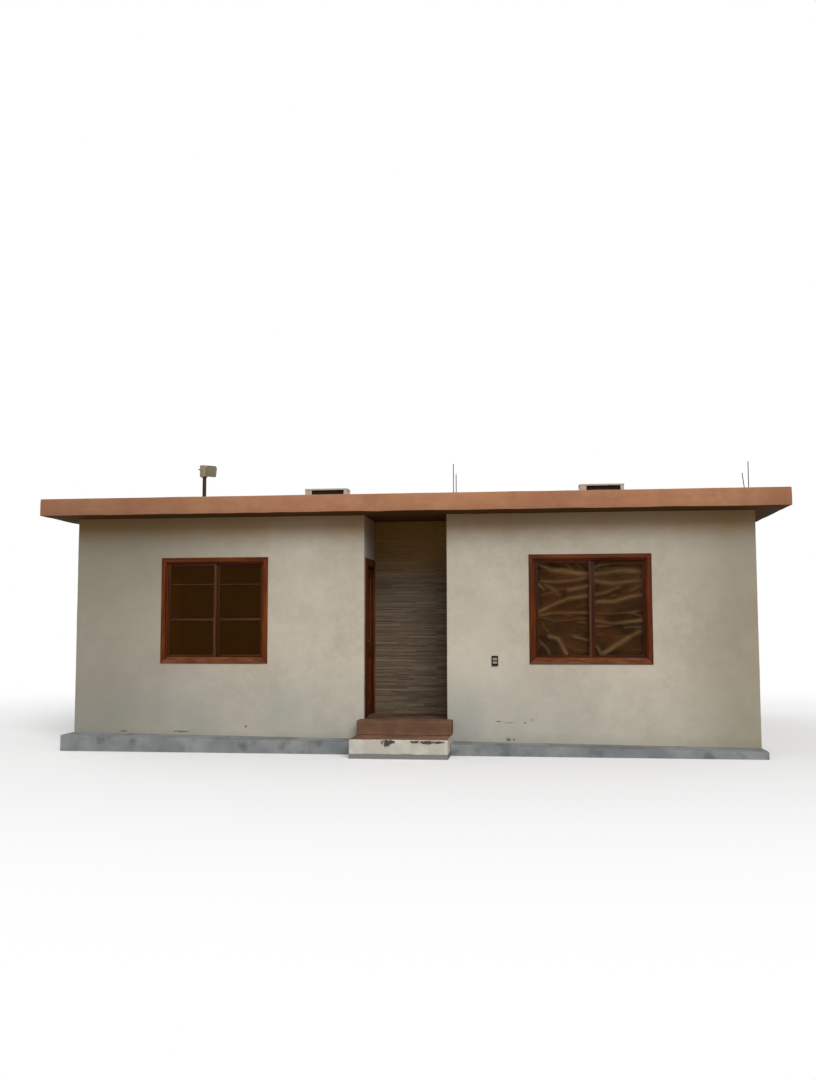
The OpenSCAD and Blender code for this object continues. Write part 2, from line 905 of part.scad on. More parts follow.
// A guard of rings and spokes over each fan, screwed to the back of the case
module condenser_guards() {
  rim_r = fan_ring_r + 2 * guard_t;
  cap_r = rim_r / (guard_rings + 1);
  color(dark_metal)
    at_units()
      translate([unit_w / 2, unit_d - lid_lip, unit_h / 2])
        rotate([-90, 0, 0]) {
          cylinder(r = cap_r, h = guard_t, $fn = hinge_fn);
          for (k = [2 : guard_rings])
            ring(k * cap_r, k * cap_r - guard_t, guard_t);
          ring(rim_r, fan_ring_r - guard_t, guard_t);
          for (k = [0 : guard_spokes - 1])
            rotate([0, 0, (k + 0.5) * 360 / guard_spokes])
              translate([0, -guard_t / 2, 0])
                cube([fan_ring_r, guard_t, guard_t]);
        }
}

module condenser_feet() {
  color(dark_metal)
    for (x = [left_unit_x, right_unit_x])
      for (side = [foot_in, unit_w - foot_in - foot_w])
        block([x + side, front_y + unit_y - foot_out, roof_top],
              [x + side + foot_w, front_y + unit_y + unit_d + foot_out, roof_top + foot_h]);
}

module at_pole(z) {
  translate([pole_x, front_y + pole_y, roof_top + z]) children();
}

module lamp_pole() {
  color(steel)
    at_pole(0) {
      cylinder(r = flange_r, h = flange_t, $fn = hinge_fn);
      cylinder(r = pole_r, h = pole_h, $fn = hinge_fn);
    }
}

// The lamp's housing narrows to its back, and its glass lies behind a rim
module lamp_housing() {
  fin_t = 3;
  fin_step = (lamp_w - 2 * lamp_taper - fin_t) / (lamp_fins - 1);
  difference() {
    intersection() {
      linear_extrude(lamp_h)
        polygon([[0, 0], [lamp_w, 0], [lamp_w - lamp_taper, lamp_d], [lamp_taper, lamp_d]]);
      rotate([90, 0, 90])
        linear_extrude(lamp_w)
          polygon([[0, 0], [0, lamp_h], [lamp_d, lamp_h - lamp_taper], [lamp_d, lamp_taper]]);
    }
    block([lamp_rim, -cut, lamp_rim], [lamp_w - lamp_rim, glass_inset, lamp_h - lamp_rim]);
    for (k = [0 : lamp_fins - 2])
      block([lamp_taper + fin_t + k * fin_step, lamp_d - lamp_taper, -cut],
            [lamp_taper + (k + 1) * fin_step, lamp_d + cut, lamp_h + cut]);
  }
}

// Control box on the pole, with the swivel, the lamp and the adjusting knob at its sides
module lamp_head() {
  axis_z = 2 * gear_h / 3;
  color(steel)
    at_pole(pole_h) {
      block([-gear_left, -gear_d / 2, 0], [gear_w - gear_left, gear_d / 2, gear_h]);
      translate([-gear_left - knob_l, 0, axis_z])
        rotate([0, 90, 0])
          cylinder(r = knob_r, h = knob_l + cut, $fn = trim_fn);
      translate([gear_w - gear_left - cut, 0, gear_h / 2])
        rotate([0, 90, 0])
          cylinder(r = swivel_r, h = swivel_l + lamp_taper + cut, $fn = trim_fn);
      translate([gear_w - gear_left + swivel_l, -lamp_d / 2, gear_h / 2])
        rotate([0, lamp_lean, 0])
          translate([0, 0, -lamp_h / 2])
            lamp_housing();
    }
}

// One bar end, cut off level at its foot
module bar_stub(x, y, h, lean) {
  translate([x, front_y + y, roof_top])
    difference() {
      rotate([0, -lean, 0])
        translate([0, 0, -bar_r])
          cylinder(r = bar_r, h = h + bar_r, $fn = trim_fn);
      block([-2 * bar_r, -2 * bar_r, -3 * bar_r], [2 * bar_r, 2 * bar_r, 0]);
    }
}

// Ends of the column bars left standing above the roof
module bar_stubs() {
  color(dark_metal) {
    for (k = [0, 1])
      bar_stub(porch_right + porch_bars_x[k], bars_y[k], bar_heights[k], 0);
    for (k = [0, 1])
      bar_stub(right_x - corner_bars_x[k], bars_y[k], bar_heights[2 + k], k * bar_lean);
  }
}

foundation();
front_ledge_left();
front_ledge_right();
back_ledge();
floor_slab();
porch_floor();
lower_step();
upper_step();
front_wall_left();
front_wall_right();
left_wall();
right_wall();
back_wall();
porch_back_wall();
porch_right_wall();
wall_over_door();
stone_cladding();
roof_slab();
left_window_casing();
left_window_sash();
left_window_glass();
right_window_casing();
right_window_sash();
right_window_glass();
right_window_sheet();
side_window_casings();
side_window_sashes();
side_window_glass();
back_window_casings();
back_window_sashes();
back_window_glass();
door_frame();
door_leaf();
door_handle();
hinge_pins();
hinge_barrels();
outlet_box();
condenser_cases();
condenser_coils();
condenser_fans();
condenser_guards();
condenser_feet();
lamp_pole();
lamp_head();
bar_stubs();
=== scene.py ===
"""The looks of a single-storey plastered house with a clad entrance recess.

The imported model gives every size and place. This file works each piece into its real shape and
gives it its finish. X runs to the right, Y runs into the house from the front and Z is up.
Lengths are in metres, angles in degrees and colours are written as on a colour card, 0 to 255.
"""

import logging
import math
import random
from dataclasses import dataclass, field
from enum import Enum
from typing import Callable, Optional, Sequence, Union

import bpy
import numpy as np
from mathutils import Matrix, Vector


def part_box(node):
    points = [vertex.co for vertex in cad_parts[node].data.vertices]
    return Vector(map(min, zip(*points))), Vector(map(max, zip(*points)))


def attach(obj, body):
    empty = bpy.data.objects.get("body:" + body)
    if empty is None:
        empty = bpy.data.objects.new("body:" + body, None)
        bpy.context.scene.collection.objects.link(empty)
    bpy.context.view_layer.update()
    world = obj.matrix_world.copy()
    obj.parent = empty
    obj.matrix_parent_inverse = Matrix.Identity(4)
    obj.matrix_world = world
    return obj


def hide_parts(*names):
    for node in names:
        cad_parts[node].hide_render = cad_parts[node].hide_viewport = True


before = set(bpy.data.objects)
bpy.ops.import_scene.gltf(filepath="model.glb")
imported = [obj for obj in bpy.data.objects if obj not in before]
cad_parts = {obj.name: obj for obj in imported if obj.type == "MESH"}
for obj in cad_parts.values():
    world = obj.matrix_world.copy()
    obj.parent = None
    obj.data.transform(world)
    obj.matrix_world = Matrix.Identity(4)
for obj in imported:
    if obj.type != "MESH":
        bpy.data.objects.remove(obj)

LOG = logging.getLogger("house")
# Two places that are closer than this count as one.
TOUCH = 1e-4
# How strongly a pattern frays a mark on a wall, and between which levels the mark fades out.
FRAY = 3.0
MARK_EDGE = (2.15, 2.35)

Socket = bpy.types.NodeSocket
Value = Union[float, Sequence[float], Socket]
Place = Sequence[float]
Pair = tuple[float, float]
Mark = tuple[float, float, float, float]
Colour = tuple[float, float, float, float]
Test = Callable[[Vector, Vector], bool]


class Axis(Enum):
    """A direction of the house, as an index into a point."""

    X = 0
    Y = 1
    Z = 2

    @property
    def way(self) -> Vector:
        """The unit vector along this axis."""
        return Vector(float(k == self.value) for k in range(3))


class Kind(Enum):
    """What of a mesh an operator works on, in Blender's words."""

    EDGES = "EDGE"
    FACES = "FACE"


def tint(red: float, green: float, blue: float) -> Colour:
    """Turns a colour card's colour into the linear one that a shader takes.

    Args:
        red: Red from 0 to 255.
        green: Green from 0 to 255.
        blue: Blue from 0 to 255.

    Returns:
        Linear red, green and blue from 0 to 1, and full alpha.
    """
    card = (red / 255, green / 255, blue / 255)
    linear = [c / 12.92 if c <= 0.04045 else ((c + 0.055) / 1.055) ** 2.4 for c in card]
    return (linear[0], linear[1], linear[2], 1.0)


def deselect() -> None:
    """Deselects every object, so that an operator acts on what is chosen next."""
    bpy.ops.object.select_all(action="DESELECT")


def box(node: str) -> tuple[Vector, Vector]:
    """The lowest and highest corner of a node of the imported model."""
    low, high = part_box(node)
    return Vector(low), Vector(high)


def fade(distance: float, reach: float) -> float:
    """A soft rise from 0 at no distance to 1 at the reach."""
    share = min(max(distance / reach, 0.0), 1.0)
    return share * share * (3 - 2 * share)


def turned(angle: float, axis: Axis) -> Matrix:
    """The matrix that turns by an angle round an axis."""
    return Matrix.Rotation(math.radians(angle), 4, axis.name)


class Workpiece:
    """A mesh piece on the bench, shaped by edit-mode operators and finished by modifiers."""

    def __init__(self, name: str, obj: bpy.types.Object) -> None:
        """Takes an object in hand under its piece's name.

        Args:
            name: Name of the piece.
            obj: The object.
        """
        self.obj = obj
        obj.name = name
        obj.data.name = name

    @classmethod
    def added(cls, name: str, operator: Callable[..., set], **settings: object) -> "Workpiece":
        """Adds a primitive and puts its place into its mesh.

        Args:
            name: Name of the piece.
            operator: The operator that adds the primitive.
            settings: Its size and place.

        Returns:
            The primitive.
        """
        deselect()
        operator(**settings)
        bpy.ops.object.transform_apply(location=True, rotation=True, scale=True)
        return cls(name, bpy.context.active_object)

    @classmethod
    def block(cls, name: str, low: Place, high: Place) -> "Workpiece":
        """Cuts a block to size between its lowest and highest corner.

        Args:
            name: Name of the block.
            low: Its lowest corner.
            high: Its highest corner.

        Returns:
            The block.
        """
        low, high = Vector(low), Vector(high)
        return cls.added(name, bpy.ops.mesh.primitive_cube_add, size=1, location=(low + high) / 2,
                         scale=high - low)

    @classmethod
    def rod(cls, name: str, foot: Place, head: Place, radius: float, sides: int = 24,
            head_radius: Optional[float] = None) -> "Workpiece":
        """Turns a round rod between two points.

        Args:
            name: Name of the piece.
            foot: Middle of its first end.
            head: Middle of its other end.
            radius: Its radius at the foot.
            sides: Number of its sides.
            head_radius: Its radius at the head, if that is another one.

        Returns:
            The rod, with its place in its mesh.
        """
        foot, head = Vector(foot), Vector(head)
        line = head - foot
        return cls.added(
            name, bpy.ops.mesh.primitive_cone_add, vertices=sides, radius1=radius,
            radius2=radius if head_radius is None else head_radius, depth=line.length,
            location=(foot + head) / 2, rotation=line.to_track_quat("Z", "Y").to_euler())

    @classmethod
    def ring(cls, name: str, centre: Place, radius: float, thickness: float, axis: Axis) -> "Workpiece":
        """Bends a round wire into a ring.

        Args:
            name: Name of the piece.
            centre: Its centre.
            radius: Radius of the wire's middle line.
            thickness: Radius of the wire.
            axis: The axis that it goes round.

        Returns:
            The ring, with its place in its mesh.
        """
        return cls.added(
            name, bpy.ops.mesh.primitive_torus_add, location=centre,
            rotation=axis.way.to_track_quat("Z", "Y").to_euler(), major_radius=radius,
            minor_radius=thickness, major_segments=44, minor_segments=8)

    def hold(self) -> None:
        """Selects this piece alone and makes it the active one."""
        deselect()
        self.obj.select_set(True)
        bpy.context.view_layer.objects.active = self.obj

    def work(self, kind: Kind, operator: Callable[..., set], whole: bool = False,
             **settings: object) -> "Workpiece":
        """Runs one edit-mode operator on what is picked.

        Args:
            kind: What the operator works on.
            operator: The operator.
            whole: Whether everything is picked first.
            settings: The operator's settings.

        Returns:
            The piece.
        """
        self.hold()
        bpy.context.tool_settings.mesh_select_mode = (False, kind is Kind.EDGES, kind is Kind.FACES)
        bpy.ops.object.mode_set(mode="EDIT")
        if whole:
            bpy.ops.mesh.select_all(action="SELECT")
        operator(**settings)
        bpy.ops.object.mode_set(mode="OBJECT")
        return self

    def pick(self, edges: np.ndarray, faces: np.ndarray, points: set[int]) -> None:
        """Marks what is selected when the piece is next opened.

        Args:
            edges: For each edge, whether it is picked.
            faces: For each face, whether it is picked.
            points: The points that are picked.
        """
        mesh = self.obj.data
        mesh.vertices.foreach_set("select", [k in points for k in range(len(mesh.vertices))])
        mesh.edges.foreach_set("select", edges)
        mesh.polygons.foreach_set("select", faces)

    def pick_faces(self, test: Test) -> "Workpiece":
        """Selects the faces whose middle and normal pass a test.

        Args:
            test: Says for a face's middle and normal if it is picked.

        Returns:
            The piece.
        """
        mesh = self.obj.data
        faces = np.array([test(f.center, f.normal) for f in mesh.polygons], bool)
        points = {v for face, wanted in zip(mesh.polygons, faces) if wanted for v in face.vertices}
        self.pick(np.array([points.issuperset(e.vertices) for e in mesh.edges], bool), faces, points)
        return self

    def pick_edges(self, test: Test) -> int:
        """Selects the edges whose two ends pass a test, and says how many they are.

        Args:
            test: Says for an edge's two ends if it is picked.

        Returns:
            How many edges are picked.
        """
        mesh = self.obj.data
        co = [v.co for v in mesh.vertices]
        ends = [tuple(e.vertices) for e in mesh.edges]
        edges = np.array([test(co[a], co[b]) for a, b in ends], bool)
        points = {v for pair, wanted in zip(ends, edges) if wanted for v in pair}
        self.pick(edges, np.zeros(len(mesh.polygons), bool), points)
        return int(edges.sum())

    def split(self, axis: Axis, place: float) -> "Workpiece":
        """Cuts a line round the whole piece where it crosses a level of an axis."""
        return self.work(Kind.FACES, bpy.ops.mesh.bisect, True, plane_co=axis.way * place, plane_no=axis.way)

    def trim(self, place: Vector, way: Vector) -> "Workpiece":
        """Saws off what lies beyond a place in one direction and closes the cut."""
        return self.work(Kind.FACES, bpy.ops.mesh.bisect, True, plane_co=place, plane_no=way,
                         use_fill=True, clear_outer=True)

    def cut_evenly(self, axis: Axis, step: float) -> "Workpiece":
        """Divides every stretch between the lines that cross an axis into even cells.

        Args:
            axis: The axis along which the edges are divided.
            step: The largest length of a cell.

        Returns:
            The piece.
        """
        k = axis.value
        levels = sorted({round(v.co[k], 5) for v in self.obj.data.vertices})
        for low, high in zip(levels, levels[1:]):
            cuts = math.ceil((high - low) / step) - 1
            if cuts < 1:
                continue
            self.pick_edges(lambda a, b: abs(min(a[k], b[k]) - low) < TOUCH
                            and abs(max(a[k], b[k]) - high) < TOUCH)
            self.work(Kind.EDGES, bpy.ops.mesh.subdivide, number_cuts=cuts)
        return self

    def open_through(self, across: Axis, low: Vector, high: Vector) -> "Workpiece":
        """Cuts a square opening right through the piece.

        Args:
            across: The axis along which the opening runs through.
            low: Lowest corner of the opening.
            high: Highest corner of the opening.

        Returns:
            The piece.
        """
        k = across.value
        others = [a.value for a in Axis if a is not across]
        for axis in Axis:
            if axis is not across:
                self.split(axis, low[axis.value])
                self.split(axis, high[axis.value])

        def inside(p: Vector) -> bool:
            """Whether a point lies within the opening or on its rim."""
            return all(low[o] - TOUCH < p[o] < high[o] + TOUCH for o in others)

        def on_rim(a: Vector, b: Vector) -> bool:
            """Whether an edge lies on the opening's rim in one face of the piece.

            Args:
                a: One end of the edge.
                b: The other end.

            Returns:
                Whether it does.
            """
            side = any(abs(a[o] - b[o]) < TOUCH
                       and min(abs(a[o] - low[o]), abs(a[o] - high[o])) < TOUCH for o in others)
            return abs(a[k] - b[k]) < TOUCH and side and inside(a) and inside(b)

        self.pick_faces(lambda c, n: inside(c) and abs(n[k]) > 0.5)
        self.work(Kind.FACES, bpy.ops.mesh.delete, type="FACE")
        self.pick_edges(on_rim)
        self.work(Kind.EDGES, bpy.ops.mesh.bridge_edge_loops)
        return self.work(Kind.FACES, bpy.ops.mesh.normals_make_consistent, True, inside=False)

    def round_edges(self, width: float, segments: int, test: Test) -> "Workpiece":
        """Rounds the edges whose two ends pass a test, if there are any.

        Args:
            width: Width of the rounding.
            segments: Number of its facets.
            test: Says for an edge's two ends if it is rounded.

        Returns:
            The piece.
        """
        if self.pick_edges(test):
            self.work(Kind.EDGES, bpy.ops.mesh.bevel, offset=width, segments=segments, affect="EDGES")
        return self

    def pull(self, offset: Place) -> "Workpiece":
        """Extrudes the selected faces by an offset."""
        return self.work(Kind.FACES, bpy.ops.mesh.extrude_region_move,
                         TRANSFORM_OT_translate={"value": offset})

    def press(self, thickness: float, depth: float) -> "Workpiece":
        """Insets the selected faces and sinks what lies inside, or raises it by a negative depth."""
        return self.work(Kind.FACES, bpy.ops.mesh.inset, thickness=thickness, depth=-depth,
                         use_even_offset=True)

    def modify(self, kind: str, **settings: object) -> "Workpiece":
        """Adds a modifier and applies it.

        Args:
            kind: Blender's name for the modifier.
            settings: Its settings.

        Returns:
            The piece.
        """
        modifier = self.obj.modifiers.new(kind, kind)
        for name, value in settings.items():
            setattr(modifier, name, value)
        self.hold()
        bpy.ops.object.modifier_apply(modifier=modifier.name)
        return self

    def round_all(self, width: float, segments: int = 2, angle: float = 30) -> "Workpiece":
        """Eases every edge that is sharper than an angle."""
        return self.modify("BEVEL", width=width, segments=segments, limit_method="ANGLE",
                           angle_limit=math.radians(angle))

    def weigh(self, name: str, weight: Callable[[Vector], float]) -> "Workpiece":
        """Gives every point a weight between 0 and 1 in a vertex group.

        Args:
            name: Name of the group.
            weight: Gives a point's weight from its place.

        Returns:
            The piece.
        """
        group = self.obj.vertex_groups.new(name=name)
        for vertex in self.obj.data.vertices:
            group.add([vertex.index], weight(vertex.co), "REPLACE")
        return self

    def wear(self, depth: float, size: float, group: str, mid: float = 1.0,
             way: Optional[Axis] = None, layers: int = 2) -> "Workpiece":
        """Makes the surface uneven with soft hollows.

        Args:
            depth: Depth of the deepest hollow.
            size: Size of the hollows.
            group: Vertex group that limits it.
            mid: Level of the pattern that stays where it is: 1 lets nothing rise.
            way: Axis of the hollows, which otherwise follow the surface's normal.
            layers: Number of finer layers in the pattern.

        Returns:
            The piece.
        """
        texture = bpy.data.textures.new(f"{self.obj.name}_wear", "CLOUDS")
        texture.noise_scale = size
        texture.noise_depth = layers
        return self.modify("DISPLACE", texture=texture, texture_coords="LOCAL", strength=depth,
                           mid_level=mid, direction=way.name if way else "NORMAL", vertex_group=group)

    def reshape(self, change: Callable[[Vector], Vector]) -> "Workpiece":
        """Moves every point to where a rule puts it.

        Args:
            change: The rule, from old to new place.

        Returns:
            The piece.
        """
        for vertex in self.obj.data.vertices:
            vertex.co = change(vertex.co.copy())
        self.obj.data.update()
        return self

    def tone(self, value: float) -> "Workpiece":
        """Gives the whole piece a number that its finish varies by."""
        return self.carry("tone", [value] * len(self.obj.data.vertices))

    def carry(self, name: str, values: Sequence[float]) -> "Workpiece":
        """Gives every point a number under a name, for the finish to read.

        Args:
            name: The name.
            values: The numbers.

        Returns:
            The piece.
        """
        attributes = self.obj.data.attributes
        attribute = attributes.get(name) or attributes.new(name, "FLOAT", "POINT")
        attribute.data.foreach_set("value", values)
        return self

    def smooth(self, angle: float) -> "Workpiece":
        """Shades the piece smooth, apart from edges sharper than an angle.

        Args:
            angle: The angle.

        Returns:
            The piece.
        """
        self.hold()
        bpy.ops.object.shade_smooth_by_angle(angle=math.radians(angle))
        return self

    def finish(self, coat: "Finish") -> "Workpiece":
        """Gives the whole piece one finish."""
        dress(self.obj, coat)
        return self

    def put(self, place: Matrix) -> "Workpiece":
        """Sets the piece in place, with the place in its mesh."""
        self.obj.data.transform(place)
        return self

    def moved(self, place: Matrix) -> "Workpiece":
        """A copy of the piece with its own mesh, set in place.

        Args:
            place: The place.

        Returns:
            The copy.
        """
        obj = self.obj.copy()
        obj.data = self.obj.data.copy()
        bpy.context.scene.collection.objects.link(obj)
        return Workpiece(self.obj.name, obj).put(place)

    def discard(self) -> None:
        """Takes a pattern piece off the bench once its copies are made."""
        mesh = self.obj.data
        bpy.data.objects.remove(self.obj)
        bpy.data.meshes.remove(mesh)

    def fit(self, body: str, slot: str, *nodes: str) -> "Workpiece":
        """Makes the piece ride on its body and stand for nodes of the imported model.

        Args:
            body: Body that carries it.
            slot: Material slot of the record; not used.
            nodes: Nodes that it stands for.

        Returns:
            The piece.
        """
        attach(self.obj, body)
        if nodes:
            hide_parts(*nodes)
        faces = len(self.obj.data.polygons)
        LOG.info("%s: %d faces, rides on %s, stands for %s", self.obj.name, faces, body, nodes or "-")
        return self


def joined(name: str, pieces: Sequence[Workpiece]) -> Workpiece:
    """Joins pieces into one under a new name.

    Args:
        name: The new name.
        pieces: The pieces.

    Returns:
        The joined piece.
    """
    pieces[0].hold()
    for piece in pieces:
        piece.obj.select_set(True)
    bpy.ops.object.join()
    return Workpiece(name, pieces[0].obj)


def copied(patterns: Sequence[Workpiece], places: Sequence[Matrix]) -> list[Workpiece]:
    """Sets copies of pattern pieces at each of some places, and discards the patterns.

    Args:
        patterns: The pattern pieces.
        places: The places.

    Returns:
        The copies, place by place.
    """
    made = [pattern.moved(place) for place in places for pattern in patterns]
    for pattern in patterns:
        pattern.discard()
    return made


def dress(obj: bpy.types.Object, coat: "Finish") -> None:
    """Puts a finish in an object's material slots, in place of what is there."""
    obj.data.materials.clear()
    obj.data.materials.append(coat.material())


class Recipe:
    """A procedural material in the making, on object coordinates.

    Its ground is the colour so far, and each further colour is laid over that.
    """

    def __init__(self, name: str) -> None:
        """Starts a material with its surface shader.

        Args:
            name: Name of the material.
        """
        self.material = bpy.data.materials.new(name)
        self.material.use_nodes = True
        self.tree = self.material.node_tree
        self.surface = self.tree.nodes["Principled BSDF"]
        self.place = self.add("TexCoord").outputs["Object"]
        self.ground: Value = (1.0, 1.0, 1.0, 1.0)
        self.normal: Optional[Socket] = None

    def add(self, kind: str, *values: Value, **settings: object) -> bpy.types.ShaderNode:
        """Adds a node.

        Args:
            kind: Blender's name for the node.
            values: What its first sockets take.
            settings: Its options.

        Returns:
            The node.
        """
        node = self.tree.nodes.new(f"ShaderNode{kind}")
        for name, value in settings.items():
            setattr(node, name, value)
        for socket, value in zip(node.inputs, values):
            self.feed(socket, value)
        return node

    def feed(self, target: Socket, value: Value) -> None:
        """Links a socket to a target, or sets a plain value on it.

        Args:
            target: The socket that is fed.
            value: A socket or a plain value.
        """
        if isinstance(value, Socket):
            self.tree.links.new(value, target)
        else:
            target.default_value = value

    def stretched(self, stretch: Place, shift: Place = (0, 0, 0)) -> Socket:
        """The place in the piece, stretched and shifted."""
        return self.add("Mapping", self.place, shift, (0, 0, 0), stretch).outputs[0]

    def along(self, axis: Axis) -> Socket:
        """The place along one axis."""
        return self.add("SeparateXYZ", self.place).outputs[axis.value]

    def facing(self, axis: Axis) -> Socket:
        """How far the surface faces along an axis, from -1 to 1."""
        return self.add("SeparateXYZ", self.add("NewGeometry").outputs["Normal"]).outputs[axis.value]

    def noise(self, scale: float, detail: float = 4, roughness: float = 0.55, stretch: Place = (1, 1, 1),
              distortion: float = 0, shift: Place = (0, 0, 0)) -> Socket:
        """A cloudy pattern.

        Args:
            scale: Clouds per metre.
            detail: Number of finer layers.
            roughness: Strength of the finer layers.
            stretch: Squeeze along each axis.
            distortion: How much the clouds swirl.
            shift: Place of the pattern.

        Returns:
            The pattern, from 0 to 1.
        """
        node = self.add("TexNoise", self.stretched(stretch, shift))
        for name, value in (("Scale", scale), ("Detail", detail), ("Roughness", roughness),
                            ("Distortion", distortion)):
            node.inputs[name].default_value = value
        return node.outputs["Fac"]

    def level(self, value: Socket, low: float, high: float, start: float = 0, end: float = 1) -> Socket:
        """Maps a value softly: start up to its low mark, end from its high mark on."""
        return self.add("MapRange", value, low, high, start, end,
                        interpolation_type="SMOOTHSTEP").outputs["Result"]

    def clouds(self, scale: float, low: float, high: float, start: float = 0, end: float = 1,
               **form: object) -> Socket:
        """A cloudy pattern, mapped as level does; the form is what else noise takes."""
        return self.level(self.noise(scale, **form), low, high, start, end)

    def sum(self, operation: str, first: Value, second: Value = 0.0) -> Socket:
        """Works out a sum, product or other operation of two values."""
        return self.add("Math", first, second, operation=operation).outputs[0]

    def swayed(self, value: Value, pattern: Socket, reach: float) -> Socket:
        """A value that a pattern sways by up to half its reach to either side."""
        sway = self.sum("MULTIPLY", self.sum("SUBTRACT", pattern, 0.5), reach)
        return self.sum("ADD", value, sway)

    def smear(self, x: float, z: float, half_x: float, half_z: float, ragged: Socket) -> Socket:
        """A ragged mark on an upright face.

        Args:
            x: Place of its middle along X.
            z: Height of its middle.
            half_x: Half its length.
            half_z: Half its height.
            ragged: Pattern from 0 to 1 that frays it.

        Returns:
            1 on the mark and 0 elsewhere.
        """
        place = self.stretched((1 / half_x, 0, 1 / half_z), (-x / half_x, 0, -z / half_z))
        away = self.add("VectorMath", place, operation="LENGTH").outputs["Value"]
        frayed = self.sum("ADD", away, self.sum("MULTIPLY", ragged, FRAY))
        return self.level(frayed, *MARK_EDGE, 1, 0)

    def attribute(self, name: str) -> Socket:
        """A number that the mesh carries."""
        return self.add("Attribute", attribute_name=name).outputs["Fac"]

    def lay(self, colour: Value, *shares: Value, kind: str = "MIX") -> None:
        """Lays a colour over the ground.

        Args:
            colour: The colour.
            shares: How much of it shows, from 0 to 1; they are multiplied with each other.
            kind: Blender's name for the way of mixing.
        """
        share = shares[0]
        for other in shares[1:]:
            share = self.sum("MULTIPLY", share, other)
        self.ground = self.add("MixRGB", share, self.ground, colour, blend_type=kind).outputs["Color"]

    def relief(self, pattern: Socket, depth: float) -> None:
        """Adds a layer of fine relief of a depth in metres.

        Args:
            pattern: Pattern from 0 to 1.
            depth: The depth.
        """
        node = self.add("Bump")
        self.feed(node.inputs["Height"], pattern)
        node.inputs["Distance"].default_value = depth
        if self.normal:
            self.feed(node.inputs["Normal"], self.normal)
        self.normal = node.outputs["Normal"]

    def done(self, roughness: Value, gloss: float, others: Sequence[tuple[str, float]] = ()) -> None:
        """Feeds the surface shader.

        Args:
            roughness: Roughness.
            gloss: Strength of the gloss.
            others: Names and values of other sockets of the shader.
        """
        self.feed(self.surface.inputs["Base Color"], self.ground)
        self.feed(self.surface.inputs["Roughness"], roughness)
        for name, value in (("Specular IOR Level", gloss), *others):
            self.surface.inputs[name].default_value = value
        if self.normal:
            self.feed(self.surface.inputs["Normal"], self.normal)


MIXED: dict["Finish", bpy.types.Material] = {}


@dataclass(frozen=True)
class Finish:
    """A finish that is mixed once and used on many pieces."""

    name: str

    def material(self) -> bpy.types.Material:
        """The finish's material, mixed on its first use.

        Returns:
            The material.
        """
        if self not in MIXED:
            recipe = Recipe(self.full_name())
            self.mix(recipe)
            MIXED[self] = recipe.material
        return MIXED[self]

    def full_name(self) -> str:
        """The material's name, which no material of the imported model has."""
        return f"finish_{self.name}"

    def mix(self, recipe: Recipe) -> None:
        """Mixes the material; each finish has its own way."""
        raise NotImplementedError


